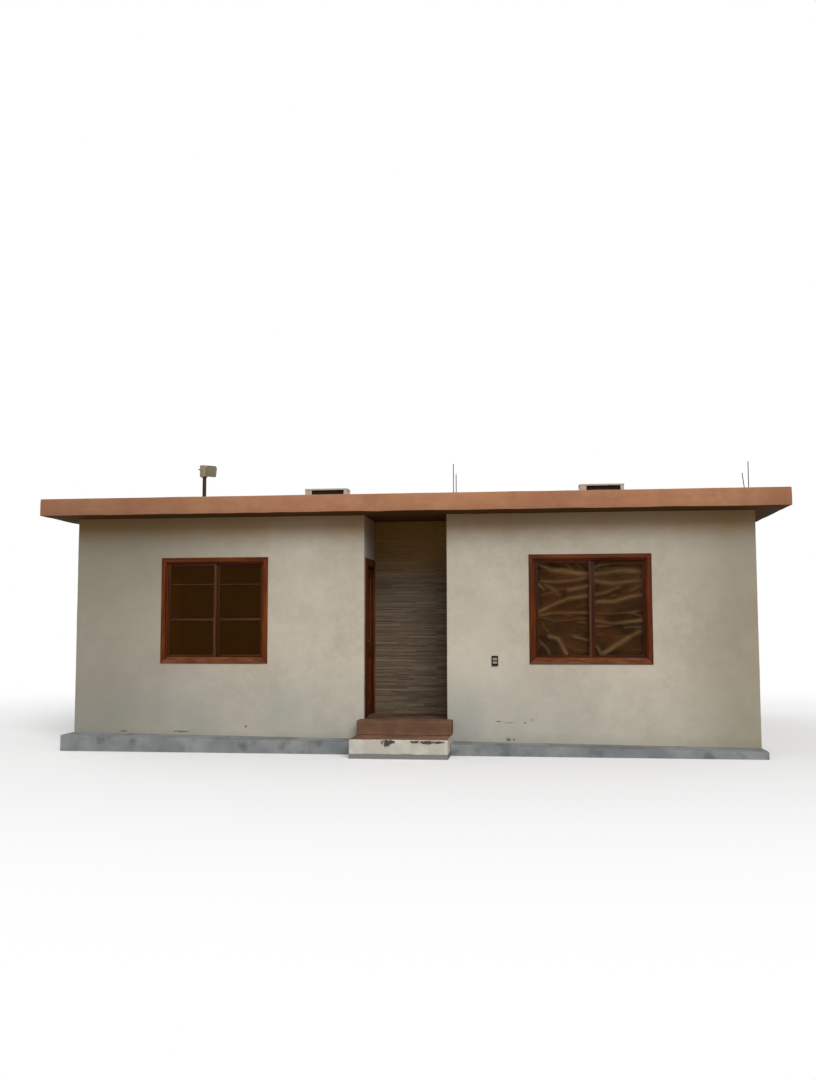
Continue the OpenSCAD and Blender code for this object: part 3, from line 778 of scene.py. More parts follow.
@dataclass(frozen=True)
class Plaster(Finish):
    """Trowelled plaster under off-white paint, with painted shade at the ends and under the roof, some grime
    under the roof, and scuffed at the foot.
    """

    name: str = "painted_plaster"
    pale: Colour = tint(186, 177, 161)
    dull: Colour = tint(174, 164, 148)
    end_and_top_shade: Colour = tint(130, 121, 98)
    cool: Colour = tint(150, 151, 143)
    bright: Colour = tint(206, 197, 181)
    shade: Colour = tint(100, 98, 90)
    right_end_shade: Colour = tint(100, 90, 62)
    shade_and_grime: Colour = tint(168, 120, 50)
    stain: Colour = tint(112, 103, 88)
    mark: Colour = tint(74, 66, 56)
    top: float = 3.068
    front: float = -3.5
    marks: tuple[Mark, ...] = (
        (1.215, 0.392, 0.045, 0.010), (1.35, 0.376, 0.075, 0.005), (1.546, 0.377, 0.016, 0.014),
        (1.635, 0.415, 0.016, 0.010), (1.335, 0.165, 0.040, 0.024), (1.405, 0.163, 0.016, 0.016),
        (-3.77, 0.225, 0.060, 0.014), (-2.98, 0.226, 0.13, 0.014), (-2.10, 0.30, 0.02, 0.02))

    def mix(self, recipe: Recipe) -> None:
        """Mixes soft clouds, painted shade at the ends and the top left, painted shade with some grime under
        the roof, damp at the foot and scuffs.

        Args:
            recipe: The material in the making.
        """
        across, inwards, height = (recipe.along(axis) for axis in Axis)
        clouds = recipe.clouds(0.8, 0.34, 0.66, detail=6, roughness=0.6)
        recipe.ground = self.dull
        recipe.lay(self.pale, clouds)
        recipe.lay(self.bright, recipe.clouds(7, 0.42, 0.64, 0, 0.22, detail=7, roughness=0.72))
        # Painted shade: darker towards both ends, and towards the top at the left.
        recipe.lay(self.end_and_top_shade, recipe.level(recipe.sum("ABSOLUTE", across), 2.6, 4.4, 0, 0.32))
        recipe.lay(self.end_and_top_shade, recipe.level(height, 1.2, 2.9, 0.10, 0.75),
                   recipe.level(across, -3.9, -0.9, 1.0, 0.25))
        recipe.lay(self.cool, recipe.level(height, 0.2, 1.3, 1, 0),
                   recipe.clouds(1.1, 0.3, 0.7, 0.35, 1.0, shift=(7, 3, 1)),
                   recipe.level(across, 0.6, 3.4, 1.0, 0.25))
        # Painted shade at the left end and at the right end of the front, fading towards the back.
        near_front = recipe.level(inwards, self.front, self.front + 1.4, 1.0, 0.35)
        recipe.lay(self.shade, recipe.level(across, -4.2, -1.3, 0.48, 0.07), near_front)
        recipe.lay(self.right_end_shade, recipe.level(across, 3.4, 4.3, 0, 0.34), near_front)
        streaks = recipe.noise(3.0, stretch=(1.0, 1.0, 0.25), detail=5)
        recipe.lay(self.stain, recipe.level(streaks, 0.56, 0.78, 0, 0.08))
        # Painted shade under the roof with some grime, in warm brown, its edge running down in streaks.
        under_roof = recipe.swayed(height, streaks, 0.25)
        recipe.lay(self.shade_and_grime, recipe.level(under_roof, self.top - 0.42, self.top - 0.02, 0, 0.58))
        damp = recipe.sum("MULTIPLY", recipe.noise(5, detail=6), 0.16)
        recipe.lay(self.stain, recipe.level(recipe.sum("SUBTRACT", height, damp), 0.05, 0.20, 0.20, 0))
        recipe.lay(self.stain, recipe.clouds(34, 0.72, 0.76, detail=2), 0.3)
        in_front = recipe.level(inwards, self.front + 0.02, self.front + 0.04, 0.75, 0)
        frayed = recipe.noise(70, detail=5, roughness=0.7)
        for mark in self.marks:
            recipe.lay(self.mark, recipe.smear(*mark, frayed), in_front)
        recipe.relief(recipe.noise(3.2, detail=3, stretch=(1, 1, 0.6)), 0.005)
        recipe.relief(recipe.noise(26, detail=6, roughness=0.65), 0.0010)
        recipe.done(recipe.level(clouds, 0, 1, 0.88, 0.76), 0.18)


@dataclass(frozen=True)
class Terracotta(Finish):
    """Brick-red masonry paint, sun-bleached and dusty, with painted shade in dark brown on the soffit and
    towards the left end.
    """

    name: str = "terracotta_paint"
    warm: Colour = tint(163, 115, 84)
    pale: Colour = tint(173, 128, 98)
    deep: Colour = tint(146, 99, 73)
    shade_and_grime: Colour = tint(110, 80, 60)
    shaded_soffit: Colour = tint(78, 50, 14)
    dot: Colour = tint(84, 58, 42)

    def mix(self, recipe: Recipe) -> None:
        """Mixes patches, faint runs down the edge, dust, painted shade towards the left end and painted
        shade in dark brown on the soffit.

        Args:
            recipe: The material in the making.
        """
        recipe.ground = self.deep
        recipe.lay(self.warm, recipe.clouds(0.9, 0.36, 0.64, detail=6, roughness=0.6))
        recipe.lay(self.pale, recipe.clouds(2.2, 0.50, 0.72, 0, 0.55, detail=6, shift=(4, 0, 2)))
        recipe.lay(self.deep, recipe.clouds(6, 0.44, 0.64, 0, 0.4, detail=7, roughness=0.72,
                                            stretch=(0.6, 0.6, 2.0)))
        # Painted shade towards the left end; the streaky clouds after it are grime.
        recipe.lay(self.shade_and_grime, recipe.level(recipe.along(Axis.X), -4.6, -0.5, 0.45, 0))
        recipe.lay(self.shade_and_grime, recipe.clouds(4.5, 0.56, 0.78, 0, 0.28, stretch=(1.3, 1.3, 0.45), detail=6))
        recipe.lay(self.dot, recipe.clouds(26, 0.71, 0.75, 0, 0.5, detail=3))
        # Painted shade: the faces that look down, the soffit, are dark brown.
        recipe.lay(self.shaded_soffit, recipe.level(recipe.facing(Axis.Z), -0.9, -0.35, 1, 0))
        recipe.relief(recipe.noise(5, detail=4), 0.004)
        recipe.relief(recipe.noise(38, detail=6, roughness=0.7), 0.0012)
        recipe.done(0.88, 0.12)


@dataclass(frozen=True)
class StepRed(Finish):
    """Trodden, dusty red paint of the upper step."""

    name: str = "trodden_red"
    warm: Colour = tint(110, 77, 57)
    dull: Colour = tint(93, 68, 53)
    bare: Colour = tint(104, 97, 88)
    dark: Colour = tint(66, 46, 36)

    def mix(self, recipe: Recipe) -> None:
        """Mixes dull paint with level scrapes, bare arrises and trodden dirt.

        Args:
            recipe: The material in the making.
        """
        scrapes = recipe.noise(9, detail=5, roughness=0.6, stretch=(0.35, 1, 3.5))
        recipe.ground = self.dull
        recipe.lay(self.warm, recipe.clouds(4, 0.36, 0.64, detail=6))
        recipe.lay(self.dark, recipe.level(scrapes, 0.56, 0.74, 0, 0.6))
        recipe.lay(self.warm, recipe.level(scrapes, 0.26, 0.42, 0.4, 0))
        recipe.lay(self.bare, recipe.clouds(14, 0.60, 0.68, 0, 0.7, detail=6, roughness=0.7),
                   recipe.level(recipe.facing(Axis.Z), 0.2, 0.8))
        recipe.relief(recipe.noise(12, detail=4), 0.003)
        recipe.relief(recipe.noise(50, detail=6, roughness=0.7), 0.0012)
        recipe.done(0.85, 0.12)


@dataclass(frozen=True)
class Concrete(Finish):
    """Bare trowelled cement."""

    name: str = "bare_concrete"
    pale: Colour = tint(130, 132, 131)
    dull: Colour = tint(108, 111, 112)
    damp: Colour = tint(82, 84, 83)

    def mix(self, recipe: Recipe) -> None:
        """Mixes clouds, damp patches and sand grain.

        Args:
            recipe: The material in the making.
        """
        recipe.ground = self.dull
        recipe.lay(self.pale, recipe.clouds(1.8, 0.35, 0.65, detail=6))
        recipe.lay(self.damp, recipe.clouds(4.4, 0.52, 0.72, 0, 0.7, detail=6, shift=(2, 5, 0)))
        recipe.relief(recipe.noise(7, detail=4), 0.004)
        recipe.relief(recipe.noise(60, detail=5, roughness=0.7), 0.0012)
        recipe.done(0.9, 0.12)


@dataclass(frozen=True)
class StepPaint(Finish):
    """White paint on the lower step's riser, chipped, under a terracotta tread."""

    name: str = "step_paint"
    front: float = -4.314
    bare_top: float = 0.06
    red_left: float = -0.53
    chips: tuple[Mark, ...] = (
        (-0.095, 0.200, 0.105, 0.044), (-0.12, 0.170, 0.050, 0.040), (0.23, 0.206, 0.080, 0.020),
        (0.37, 0.204, 0.115, 0.028), (0.52, 0.206, 0.090, 0.020))
    white: Colour = tint(190, 186, 173)
    worn: Colour = tint(172, 167, 154)
    bare: Colour = tint(68, 60, 50)
    cement: Colour = tint(112, 113, 110)
    red: Colour = tint(120, 84, 64)
    deep_red: Colour = tint(96, 68, 54)

    def tread(self, recipe: Recipe, ragged: Socket) -> Socket:
        """Mixes the tread's red paint, which is worn off at its left end.

        Args:
            recipe: The material in the making.
            ragged: Pattern that frays its edge.

        Returns:
            The tread's colour.
        """
        recipe.ground = self.deep_red
        recipe.lay(self.red, recipe.clouds(2.5, 0.4, 0.6, detail=5))
        red = recipe.ground
        sideways = recipe.sum("ADD", recipe.along(Axis.X), recipe.sum("MULTIPLY", ragged, 0.08))
        recipe.ground = self.bare
        recipe.lay(red, recipe.level(sideways, self.red_left, self.red_left + 0.04))
        return recipe.ground

    def mix(self, recipe: Recipe) -> None:
        """Mixes the painted riser, its chips, the bare foot and the red tread.

        Args:
            recipe: The material in the making.
        """
        ragged = recipe.noise(9, detail=6, roughness=0.7)
        inwards = recipe.along(Axis.Y)
        tread = self.tread(recipe, ragged)
        edge = recipe.swayed(recipe.sum("SUBTRACT", inwards, self.front), ragged, 0.12)
        recipe.ground = self.worn
        recipe.lay(self.white, recipe.clouds(3, 0.4, 0.65, detail=5))
        recipe.lay(tread, recipe.level(recipe.facing(Axis.Z), 0.35, 0.75), recipe.level(edge, 0.01, 0.03))
        on_front = recipe.level(inwards, self.front + 0.02, self.front + 0.03, 1, 0)
        frayed = recipe.noise(36, detail=5, roughness=0.75)
        for chip in self.chips:
            recipe.lay(self.bare, recipe.smear(*chip, frayed), on_front)
        foot = recipe.sum("SUBTRACT", recipe.along(Axis.Z), recipe.sum("MULTIPLY", ragged, 0.03))
        recipe.lay(self.cement, recipe.level(foot, self.bare_top - 0.02, self.bare_top - 0.008, 1, 0))
        recipe.relief(recipe.noise(12, detail=4), 0.004)
        recipe.relief(recipe.noise(55, detail=6, roughness=0.7), 0.0012)
        recipe.done(0.8, 0.25)


@dataclass(frozen=True)
class PorchCement(Finish):
    """Dark, trodden cement of the entrance floor."""

    name: str = "porch_cement"
    pale: Colour = tint(92, 68, 48)
    dark: Colour = tint(60, 42, 29)

    def mix(self, recipe: Recipe) -> None:
        """Mixes trodden and dusty patches.

        Args:
            recipe: The material in the making.
        """
        recipe.ground = self.dark
        recipe.lay(self.pale, recipe.clouds(3, 0.35, 0.65, detail=6))
        recipe.relief(recipe.noise(40, detail=5, roughness=0.7), 0.001)
        recipe.done(0.7, 0.3)


@dataclass(frozen=True)
class Timber(Finish):
    """Varnished hardwood whose grain runs along one axis."""

    name: str = "varnished_timber"
    grain: Axis = Axis.X
    pale: Colour = tint(126, 66, 23)
    warm: Colour = tint(103, 48, 12)
    dark: Colour = tint(74, 32, 7)
    dust: Colour = tint(138, 100, 70)
    dusty: float = 0.0
    varnish: tuple[tuple[str, float], ...] = (("Coat Weight", 0.03), ("Coat Roughness", 0.35))

    def full_name(self) -> str:
        """The material's name, with the axis of its grain."""
        return f"finish_{self.name}_{self.grain.name.lower()}"

    def mix(self, recipe: Recipe) -> None:
        """Mixes growth rings, pores, member tones that paint light and shade on the sashes, dust with a
        painted highlight, and a satin varnish.

        Args:
            recipe: The material in the making.
        """
        along = [0.06 if axis is self.grain else 1.0 for axis in Axis]
        rings = recipe.noise(22, detail=5, roughness=0.6, stretch=along, distortion=0.6)
        streaks = recipe.noise(120, detail=3, stretch=along)
        recipe.ground = self.dark
        recipe.lay(self.warm, recipe.level(rings, 0.36, 0.62))
        recipe.lay(self.pale, recipe.level(rings, 0.55, 0.75, 0, 0.75))
        recipe.lay(self.dark, recipe.level(streaks, 0.56, 0.68, 0, 0.55))
        # A tone for each member; on the sashes the tones paint light and shade.
        tone = recipe.level(recipe.attribute("tone"), 0, 1, 0.26, 1.30)
        recipe.lay(recipe.add("CombineXYZ", tone, tone, tone).outputs[0], 1.0, kind="MULTIPLY")
        # Dust and a painted highlight, used on the window's bottom member.
        if self.dusty:
            recipe.lay(self.dust, recipe.clouds(9, 0.42, 0.66, 0.12, self.dusty, detail=5, roughness=0.65,
                                                stretch=(0.5, 0.5, 3.0)))
        recipe.relief(rings, 0.0008)
        recipe.relief(streaks, 0.0004)
        recipe.done(recipe.level(streaks, 0.3, 0.7, 0.46, 0.66), 0.08, self.varnish)


@dataclass(frozen=True)
class Pane(Finish):
    """Window glass, plain or tinted."""

    name: str = "tinted_glass"
    body: Colour = tint(100, 64, 18)
    clearness: float = 0.84
    gloss: float = 0.05
    bending: float = 1.08

    def mix(self, recipe: Recipe) -> None:
        """Mixes a tinted, slightly wavy pane with a film of dust.

        Args:
            recipe: The material in the making.
        """
        recipe.ground = self.body
        recipe.relief(recipe.noise(1.6, detail=1), 0.002)
        recipe.done(recipe.clouds(2.4, 0.4, 0.8, 0.01, 0.05, detail=6), self.gloss,
                    (("Transmission Weight", self.clearness), ("IOR", self.bending)))


@dataclass(frozen=True)
class LedgerStone(Finish):
    """Split strips of grey-brown stone."""

    name: str = "ledger_stone"
    pale: Colour = tint(110, 95, 79)
    mid: Colour = tint(97, 83, 68)
    dark: Colour = tint(83, 70, 56)
    dusty: Colour = tint(152, 112, 50)
    dust_and_light_from: float = 2.1
    dusty_to: float = 2.95

    def mix(self, recipe: Recipe) -> None:
        """Mixes a tone for each strip, veins along it, brown dust with painted warm bounce light under the
        roof and a split surface.

        Args:
            recipe: The material in the making.
        """
        tone = recipe.attribute("tone")
        veins = recipe.noise(14, detail=6, roughness=0.65, stretch=(0.5, 1, 3))
        recipe.ground = self.dark
        recipe.lay(self.mid, recipe.level(tone, 0.0, 0.6))
        recipe.lay(self.pale, recipe.level(tone, 0.55, 1.0))
        recipe.lay(self.pale, recipe.level(veins, 0.5, 0.7, 0, 0.5))
        recipe.lay(self.dark, recipe.level(veins, 0.30, 0.45, 0.5, 0))
        # Painted light: lighter and warmer towards the top under the roof, as bounce from the soffit, with
        # some dust.
        recipe.lay(self.dusty, recipe.level(recipe.along(Axis.Z), self.dust_and_light_from, self.dusty_to, 0, 0.85))
        recipe.relief(recipe.noise(60, detail=6, roughness=0.7, stretch=(0.6, 1, 1.6)), 0.004)
        recipe.done(0.84, 0.15)


@dataclass(frozen=True)
class Sheet(Finish):
    """A thin brown blind sheet with a satin face."""

    name: str = "sun_sheet"
    crest: Colour = tint(100, 78, 54)
    flat: Colour = tint(62, 37, 13)
    deep: Colour = tint(41, 27, 8)

    def mix(self, recipe: Recipe) -> None:
        """Mixes a painted highlight on the crests and the tops of the fine wrinkles, painted shade in their
        hollows, the wrinkles' relief and a satin gloss.

        Args:
            recipe: The material in the making.
        """
        wrinkles = recipe.noise(26, detail=4, roughness=0.6, stretch=(0.3, 1, 1.3), distortion=0.8)
        recipe.ground = self.deep
        recipe.lay(self.flat, recipe.clouds(3, 0.35, 0.65, detail=4))
        # Painted highlight: a paler colour on the folds' crests and on the tops of the fine wrinkles.
        recipe.lay(self.crest, recipe.level(recipe.attribute("crest"), 0.16, 1.0),
                   recipe.clouds(6, 0.3, 0.65, 0.45, 1.0, detail=4, stretch=(0.5, 1, 1)))
        recipe.lay(self.crest, recipe.level(wrinkles, 0.56, 0.70, 0, 0.40))
        # Painted shade in the hollows of the fine wrinkles.
        recipe.lay(self.deep, recipe.level(wrinkles, 0.30, 0.44, 0.5, 0))
        recipe.relief(wrinkles, 0.003)
        recipe.done(0.42, 0.05)


@dataclass(frozen=True)
class Coated(Finish):
    """A coated, moulded or bare surface with dirt in patches."""

    name: str = "coated"
    colour: Colour = tint(200, 190, 178)
    dirt: Colour = tint(120, 108, 92)
    dirty: float = 0.4
    roughness: float = 0.45
    metallic: float = 0.0
    gloss: float = 0.2
    grain: float = 0.0003

    def mix(self, recipe: Recipe) -> None:
        """Mixes the coat with dirt patches and a fine grain.

        Args:
            recipe: The material in the making.
        """
        patches = recipe.clouds(6, 0.45, 0.75, 0, self.dirty, detail=6, roughness=0.6)
        recipe.ground = self.colour
        recipe.lay(self.dirt, patches)
        recipe.relief(recipe.noise(220, detail=3), self.grain)
        rough = recipe.level(patches, 0, self.dirty, self.roughness, min(1, self.roughness + 0.25))
        recipe.done(rough, self.gloss, (("Metallic", self.metallic),))


@dataclass(frozen=True)
class Rust(Finish):
    """Rusted steel with scaly patches."""

    name: str = "rusty_steel"
    scale: Colour = tint(76, 51, 31)
    deep: Colour = tint(46, 33, 22)
    bright: Colour = tint(104, 66, 38)

    def mix(self, recipe: Recipe) -> None:
        """Mixes scale, bright rust and pits.

        Args:
            recipe: The material in the making.
        """
        recipe.ground = self.deep
        recipe.lay(self.scale, recipe.clouds(18, 0.35, 0.65, detail=6))
        recipe.lay(self.bright, recipe.clouds(46, 0.55, 0.75, 0, 0.8, detail=5))
        recipe.relief(recipe.noise(140, detail=5, roughness=0.7), 0.0012)
        recipe.done(0.85, 0.12)


PLASTER = Plaster()
TERRACOTTA = Terracotta()
STEP_RED = StepRed()
STEP_PAINT = StepPaint()
CONCRETE = Concrete()
PORCH_CEMENT = PorchCement()
STONE = LedgerStone()
SUN_SHEET = Sheet()
RUST = Rust()
TIMBER = {axis: Timber(grain=axis) for axis in Axis}
DUST_AND_HIGHLIGHT_TIMBER = {axis: Timber("dusty_timber", axis, dusty=0.42) for axis in Axis}
# A paler, greyer timber: a painted highlight on the front meeting stile and the glazing bars.
HIGHLIT_TIMBER = {axis: Timber("faded_timber", axis, tint(114, 74, 46), tint(93, 57, 33), tint(64, 38, 21))
                for axis in Axis}
DARK_GLASS = Pane()
CLEAR_GLASS = Pane("clear_glass", tint(238, 232, 216), 1.0)
LAMP_GLASS = Pane("lamp_glass", tint(134, 128, 108), 0.3, 0.15)
ENAMEL = Coated("pale_enamel", tint(168, 156, 138), tint(112, 99, 80))
MODULE = Coated("socket_module", tint(142, 132, 112), dirty=0.3)
COIL = Coated("coil_fins", tint(52, 44, 36), tint(34, 27, 20), roughness=0.6, gloss=0.1)
GEAR_BOX = Coated("gear_box", tint(132, 122, 98), tint(78, 68, 48), 0.9)
LAMP_ENAMEL = Coated("lamp_enamel", tint(116, 112, 88), tint(72, 62, 42), 0.75)
BLACK_PLASTIC = Coated("black_plastic", tint(30, 26, 21), tint(62, 52, 40), 0.3, gloss=0.08)
RUBBER = Coated("foot_rubber", tint(52, 49, 46), roughness=0.8)
STEEL = Coated("plated_steel", tint(168, 164, 156), dirty=0.2, roughness=0.32, metallic=0.9)
AGED_STEEL = Coated("aged_steel", tint(104, 92, 74), tint(62, 50, 36), roughness=0.42, metallic=0.8)


@dataclass(frozen=True)
class Opening:
    """A window opening through a wall, as a range along the wall and a range of heights."""

    left: float
    right: float
    foot: float
    head: float

    def away(self, along: float, height: float) -> float:
        """How far a place on the wall lies outside the opening.

        Args:
            along: The place along the wall.
            height: Its height.

        Returns:
            The distance, or 0 inside.
        """
        beside = max(self.left - along, along - self.right, 0.0)
        above = max(self.foot - height, height - self.head, 0.0)
        return math.hypot(beside, above)


@dataclass
class PlasterWall:
    """A plastered wall with its windows, soft unevenness and rounded corners."""

    node: str
    across: Axis
    outside: float
    openings: tuple[Opening, ...] = ()
    corners: tuple[Pair, ...] = ()
    joints: tuple[tuple[Axis, float], ...] = ()
    cell: float = 0.07
    hollows: Pair = (0.006, 0.55)
    ripples: Pair = (0.0016, 0.09)
    corner_r: float = 0.012
    calm: float = 0.06
    skin: float = 0.01
    skin_fade: float = 0.1

    @property
    def along(self) -> Axis:
        """The axis along the wall."""
        return Axis.Y if self.across is Axis.X else Axis.X

    def weight(self, p: Vector) -> float:
        """How far the plaster may wander at a place: not at all at frames, joints and inside.

        Args:
            p: The place.

        Returns:
            A weight from 0 to 1.
        """
        depth = abs(p[self.across.value] - self.outside)
        weight = 1 - fade(depth - self.skin, self.skin_fade)
        for opening in self.openings:
            weight *= fade(opening.away(p[self.along.value], p.z), self.calm)
        for axis, place in self.joints:
            weight *= fade(abs(p[axis.value] - place), self.calm)
        return weight

    def build(self) -> None:
        """Builds the wall from a block and lets it ride."""
        low, high = box(self.node)
        k = self.along.value
        wall = Workpiece.block(f"plastered_{self.node}", low, high)
        for opening in self.openings:
            first, last = low.copy(), high.copy()
            first[k], last[k] = opening.left, opening.right
            first.z, last.z = opening.foot, opening.head
            wall.open_through(self.across, first, last)
        for axis in (self.along, Axis.Z, self.across):
            wall.cut_evenly(axis, self.cell)

        def upright_corner(a: Vector, b: Vector) -> bool:
            """Whether an edge stands at one of the wall's free corners."""
            return any(max(abs(p.x - x) + abs(p.y - y) for p in (a, b)) < TOUCH for x, y in self.corners)

        wall.round_edges(self.corner_r, 3, upright_corner)
        wall.weigh("loose", self.weight)
        wall.wear(*self.hollows, "loose").wear(*self.ripples, "loose")
        wall.smooth(40).finish(PLASTER).fit("house", "wall_plaster", self.node)


@dataclass
class Masonry:
    """Walls, roof slab, ledges and steps. Each wear is a depth and a size of its hollows."""

    roof_cell: float = 0.09
    roof_r: float = 0.012
    soffit_r: float = 0.006
    roof_wear: Pair = (0.006, 0.7)
    edge_wear: Pair = (-0.012, 0.35)
    fascia_wear: Pair = (0.004, 0.4)
    stand_calm: float = 0.25
    eaves: Pair = (0.1, 0.2)
    edge_fade: float = 0.06
    top_skin: float = 0.02
    ledge_cell: float = 0.07
    ledge_r: float = 0.016
    ledge_calm: float = 0.05
    ledge_rim: float = 0.05
    ledge_wear: tuple[Pair, ...] = ((0.012, 0.22), (0.003, 0.05))
    step_cell: float = 0.03
    step_r: float = 0.010
    step_calm: Pair = (0.04, 0.06)
    step_wear: tuple[Pair, ...] = ((0.007, 0.12), (0.0025, 0.03))

    def build(self) -> None:
        """Builds all the masonry."""
        for wall in self.walls():
            wall.build()
        self.roof()
        for node in ("front_ledge_left", "front_ledge_right", "back_ledge"):
            self.ledge(node)
        self.step("lower_step", STEP_PAINT, "white_paint")
        self.step("upper_step", STEP_RED, "terracotta_paint")

    @staticmethod
    def walls() -> list[PlasterWall]:
        """The walls, with the places of their windows, corners and joints.

        Returns:
            The seven walls.
        """
        left_low, left_high = box("left_window_casing")
        right_low, right_high = box("right_window_casing")
        front_low, front_high = box("front_wall_left")
        porch_low, porch_high = box("porch_right_wall")
        back_low, back_high = box("back_wall")
        half = (left_high.x - left_low.x) / 2
        foot, head = left_low.z, left_high.z
        left_window = Opening(left_low.x, left_high.x, foot, head)
        mirrored = Opening(-left_high.x, -left_low.x, foot, head)
        right_window = Opening(right_low.x, right_high.x, foot, head)
        side_window = Opening(-half, half, foot, head)
        front, back = front_low.y, back_high.y
        left, right = back_low.x, back_high.x
        ends = ((Axis.Y, front_high.y), (Axis.Y, back_low.y))
        porch_ends = ((Axis.Y, porch_low.y), (Axis.Y, porch_high.y))
        over_door = (*porch_ends, (Axis.Z, box("wall_over_door")[0].z))
        return [
            PlasterWall("front_wall_left", Axis.Y, front, (left_window,),
                        ((left, front), (front_high.x, front))),
            PlasterWall("front_wall_right", Axis.Y, front, (right_window,),
                        ((porch_low.x, front), (right, front))),
            PlasterWall("left_wall", Axis.X, left, (side_window,), joints=ends),
            PlasterWall("right_wall", Axis.X, right, (side_window,), joints=ends),
            PlasterWall("back_wall", Axis.Y, back, (left_window, mirrored), ((left, back), (right, back))),
            PlasterWall("porch_right_wall", Axis.X, porch_low.x, joints=porch_ends),
            PlasterWall("wall_over_door", Axis.X, front_high.x, joints=over_door),
        ]

    def roof(self) -> None:
        """Builds the roof slab with worn arrises and a wandering lower edge."""
        low, high = box("roof_slab")
        walls_low, walls_high = box("foundation")
        stands = [box(node) for node in ("condenser_feet", "lamp_pole", "bar_stubs")]
        roof = Workpiece.block("roof_slab_painted", low, high)
        for axis in Axis:
            roof.cut_evenly(axis, self.roof_cell)

        def on_outline(*ends: Vector) -> bool:
            """Whether points lie on the slab's outline, seen from above."""
            return all(min(p.x - low.x, high.x - p.x, p.y - low.y, high.y - p.y) < TOUCH for p in ends)

        def away_from_walls(p: Vector) -> float:
            """How free a point of the overhang is of the walls."""
            beside = max(walls_low.x - p.x, p.x - walls_high.x, walls_low.y - p.y, p.y - walls_high.y)
            return fade(beside - self.eaves[0], self.eaves[1])

        def top(p: Vector) -> float:
            """How free a point of the top is of what stands on it."""
            near = min(max(a.x - p.x, p.x - b.x, a.y - p.y, p.y - b.y) for a, b in stands)
            return (p.z > high.z - self.top_skin) * fade(near, self.stand_calm)

        roof.round_edges(self.roof_r, 3, lambda a, b: min(a.z, b.z) > high.z - TOUCH and on_outline(a, b))
        roof.round_edges(self.soffit_r, 2, lambda a, b: max(a.z, b.z) < low.z + TOUCH and on_outline(a, b))
        roof.weigh("edge", lambda p: away_from_walls(p) * (1 - fade(p.z - low.z, self.edge_fade)))
        roof.weigh("top", top)
        roof.weigh("fascia", lambda p: away_from_walls(p) * (low.z < p.z < high.z))
        roof.wear(*self.edge_wear, "edge", way=Axis.Z)
        roof.wear(*self.roof_wear, "top").wear(*self.fascia_wear, "fascia")
        roof.smooth(40).finish(TERRACOTTA).fit("house", "terracotta_paint", "roof_slab")

    def ledge(self, node: str) -> None:
        """Builds a ledge, whose top falls to the right.

        Args:
            node: Node that it stands for.
        """
        low, high = box(node)
        front, wall = (low.y, high.y) if low.y < 0 else (high.y, low.y)
        ledge = Workpiece.block(f"cement_{node}", low, high)
        ledge.pick_edges(lambda a, b: min(a.x, b.x) > high.x - TOUCH and min(a.z, b.z) > high.z - TOUCH)
        ledge.work(Kind.EDGES, bpy.ops.transform.translate, value=(0, 0, -self.fall(node)))
        ledge.cut_evenly(Axis.X, self.ledge_cell).cut_evenly(Axis.Y, self.ledge_cell)

        def front_arris(a: Vector, b: Vector) -> bool:
            """Whether an edge runs along the front of the ledge's top."""
            return (all(abs(p.y - front) < TOUCH and p.z > self.ledge_rim for p in (a, b))
                    and abs(a.x - b.x) > TOUCH)

        ledge.round_edges(self.ledge_r, 3, front_arris)
        ledge.weigh("loose", lambda p: math.prod(
            fade(free, self.ledge_calm) for free in (p.z, abs(p.y - wall), p.x - low.x, high.x - p.x)))
        for wear in self.ledge_wear:
            ledge.wear(*wear, "loose")
        ledge.smooth(40).finish(CONCRETE).fit("house", "concrete", node)

    @staticmethod
    def fall(node: str) -> float:
        """How much a ledge's top falls from its left end to its right end."""
        tops = sorted({round(v.co.z, 5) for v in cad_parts[node].data.vertices if v.co.z > TOUCH})
        return tops[-1] - tops[0]

    def step(self, node: str, coat: Finish, slot: str) -> None:
        """Builds a step with worn arrises.

        Args:
            node: Node that it stands for.
            coat: Its finish.
            slot: Material slot of the record.
        """
        low, high = box(node)
        step = Workpiece.block(f"worn_{node}", low, high)
        for axis in Axis:
            step.cut_evenly(axis, self.step_cell)

        def arris(*ends: Vector) -> bool:
            """Whether an edge is an arris of the step's top or an upright one in front.

            Args:
                ends: The edge's two ends.

            Returns:
                Whether it is.
            """
            on_top = all(p.z > high.z - TOUCH for p in ends)
            front = all(p.y < low.y + TOUCH for p in ends)
            left = all(p.x < low.x + TOUCH for p in ends)
            right = all(p.x > high.x - TOUCH for p in ends)
            upright = abs(ends[0].z - ends[1].z) > TOUCH
            return front + left + right + on_top >= 2 and (on_top or upright)

        step.round_edges(self.step_r, 3, arris)
        above, before = self.step_calm
        step.weigh("loose", lambda p: fade(p.z - low.z, above) * fade(high.y - p.y, before))
        for wear in self.step_wear:
            step.wear(*wear, "loose")
        step.smooth(40).finish(coat).fit("house", slot, node)


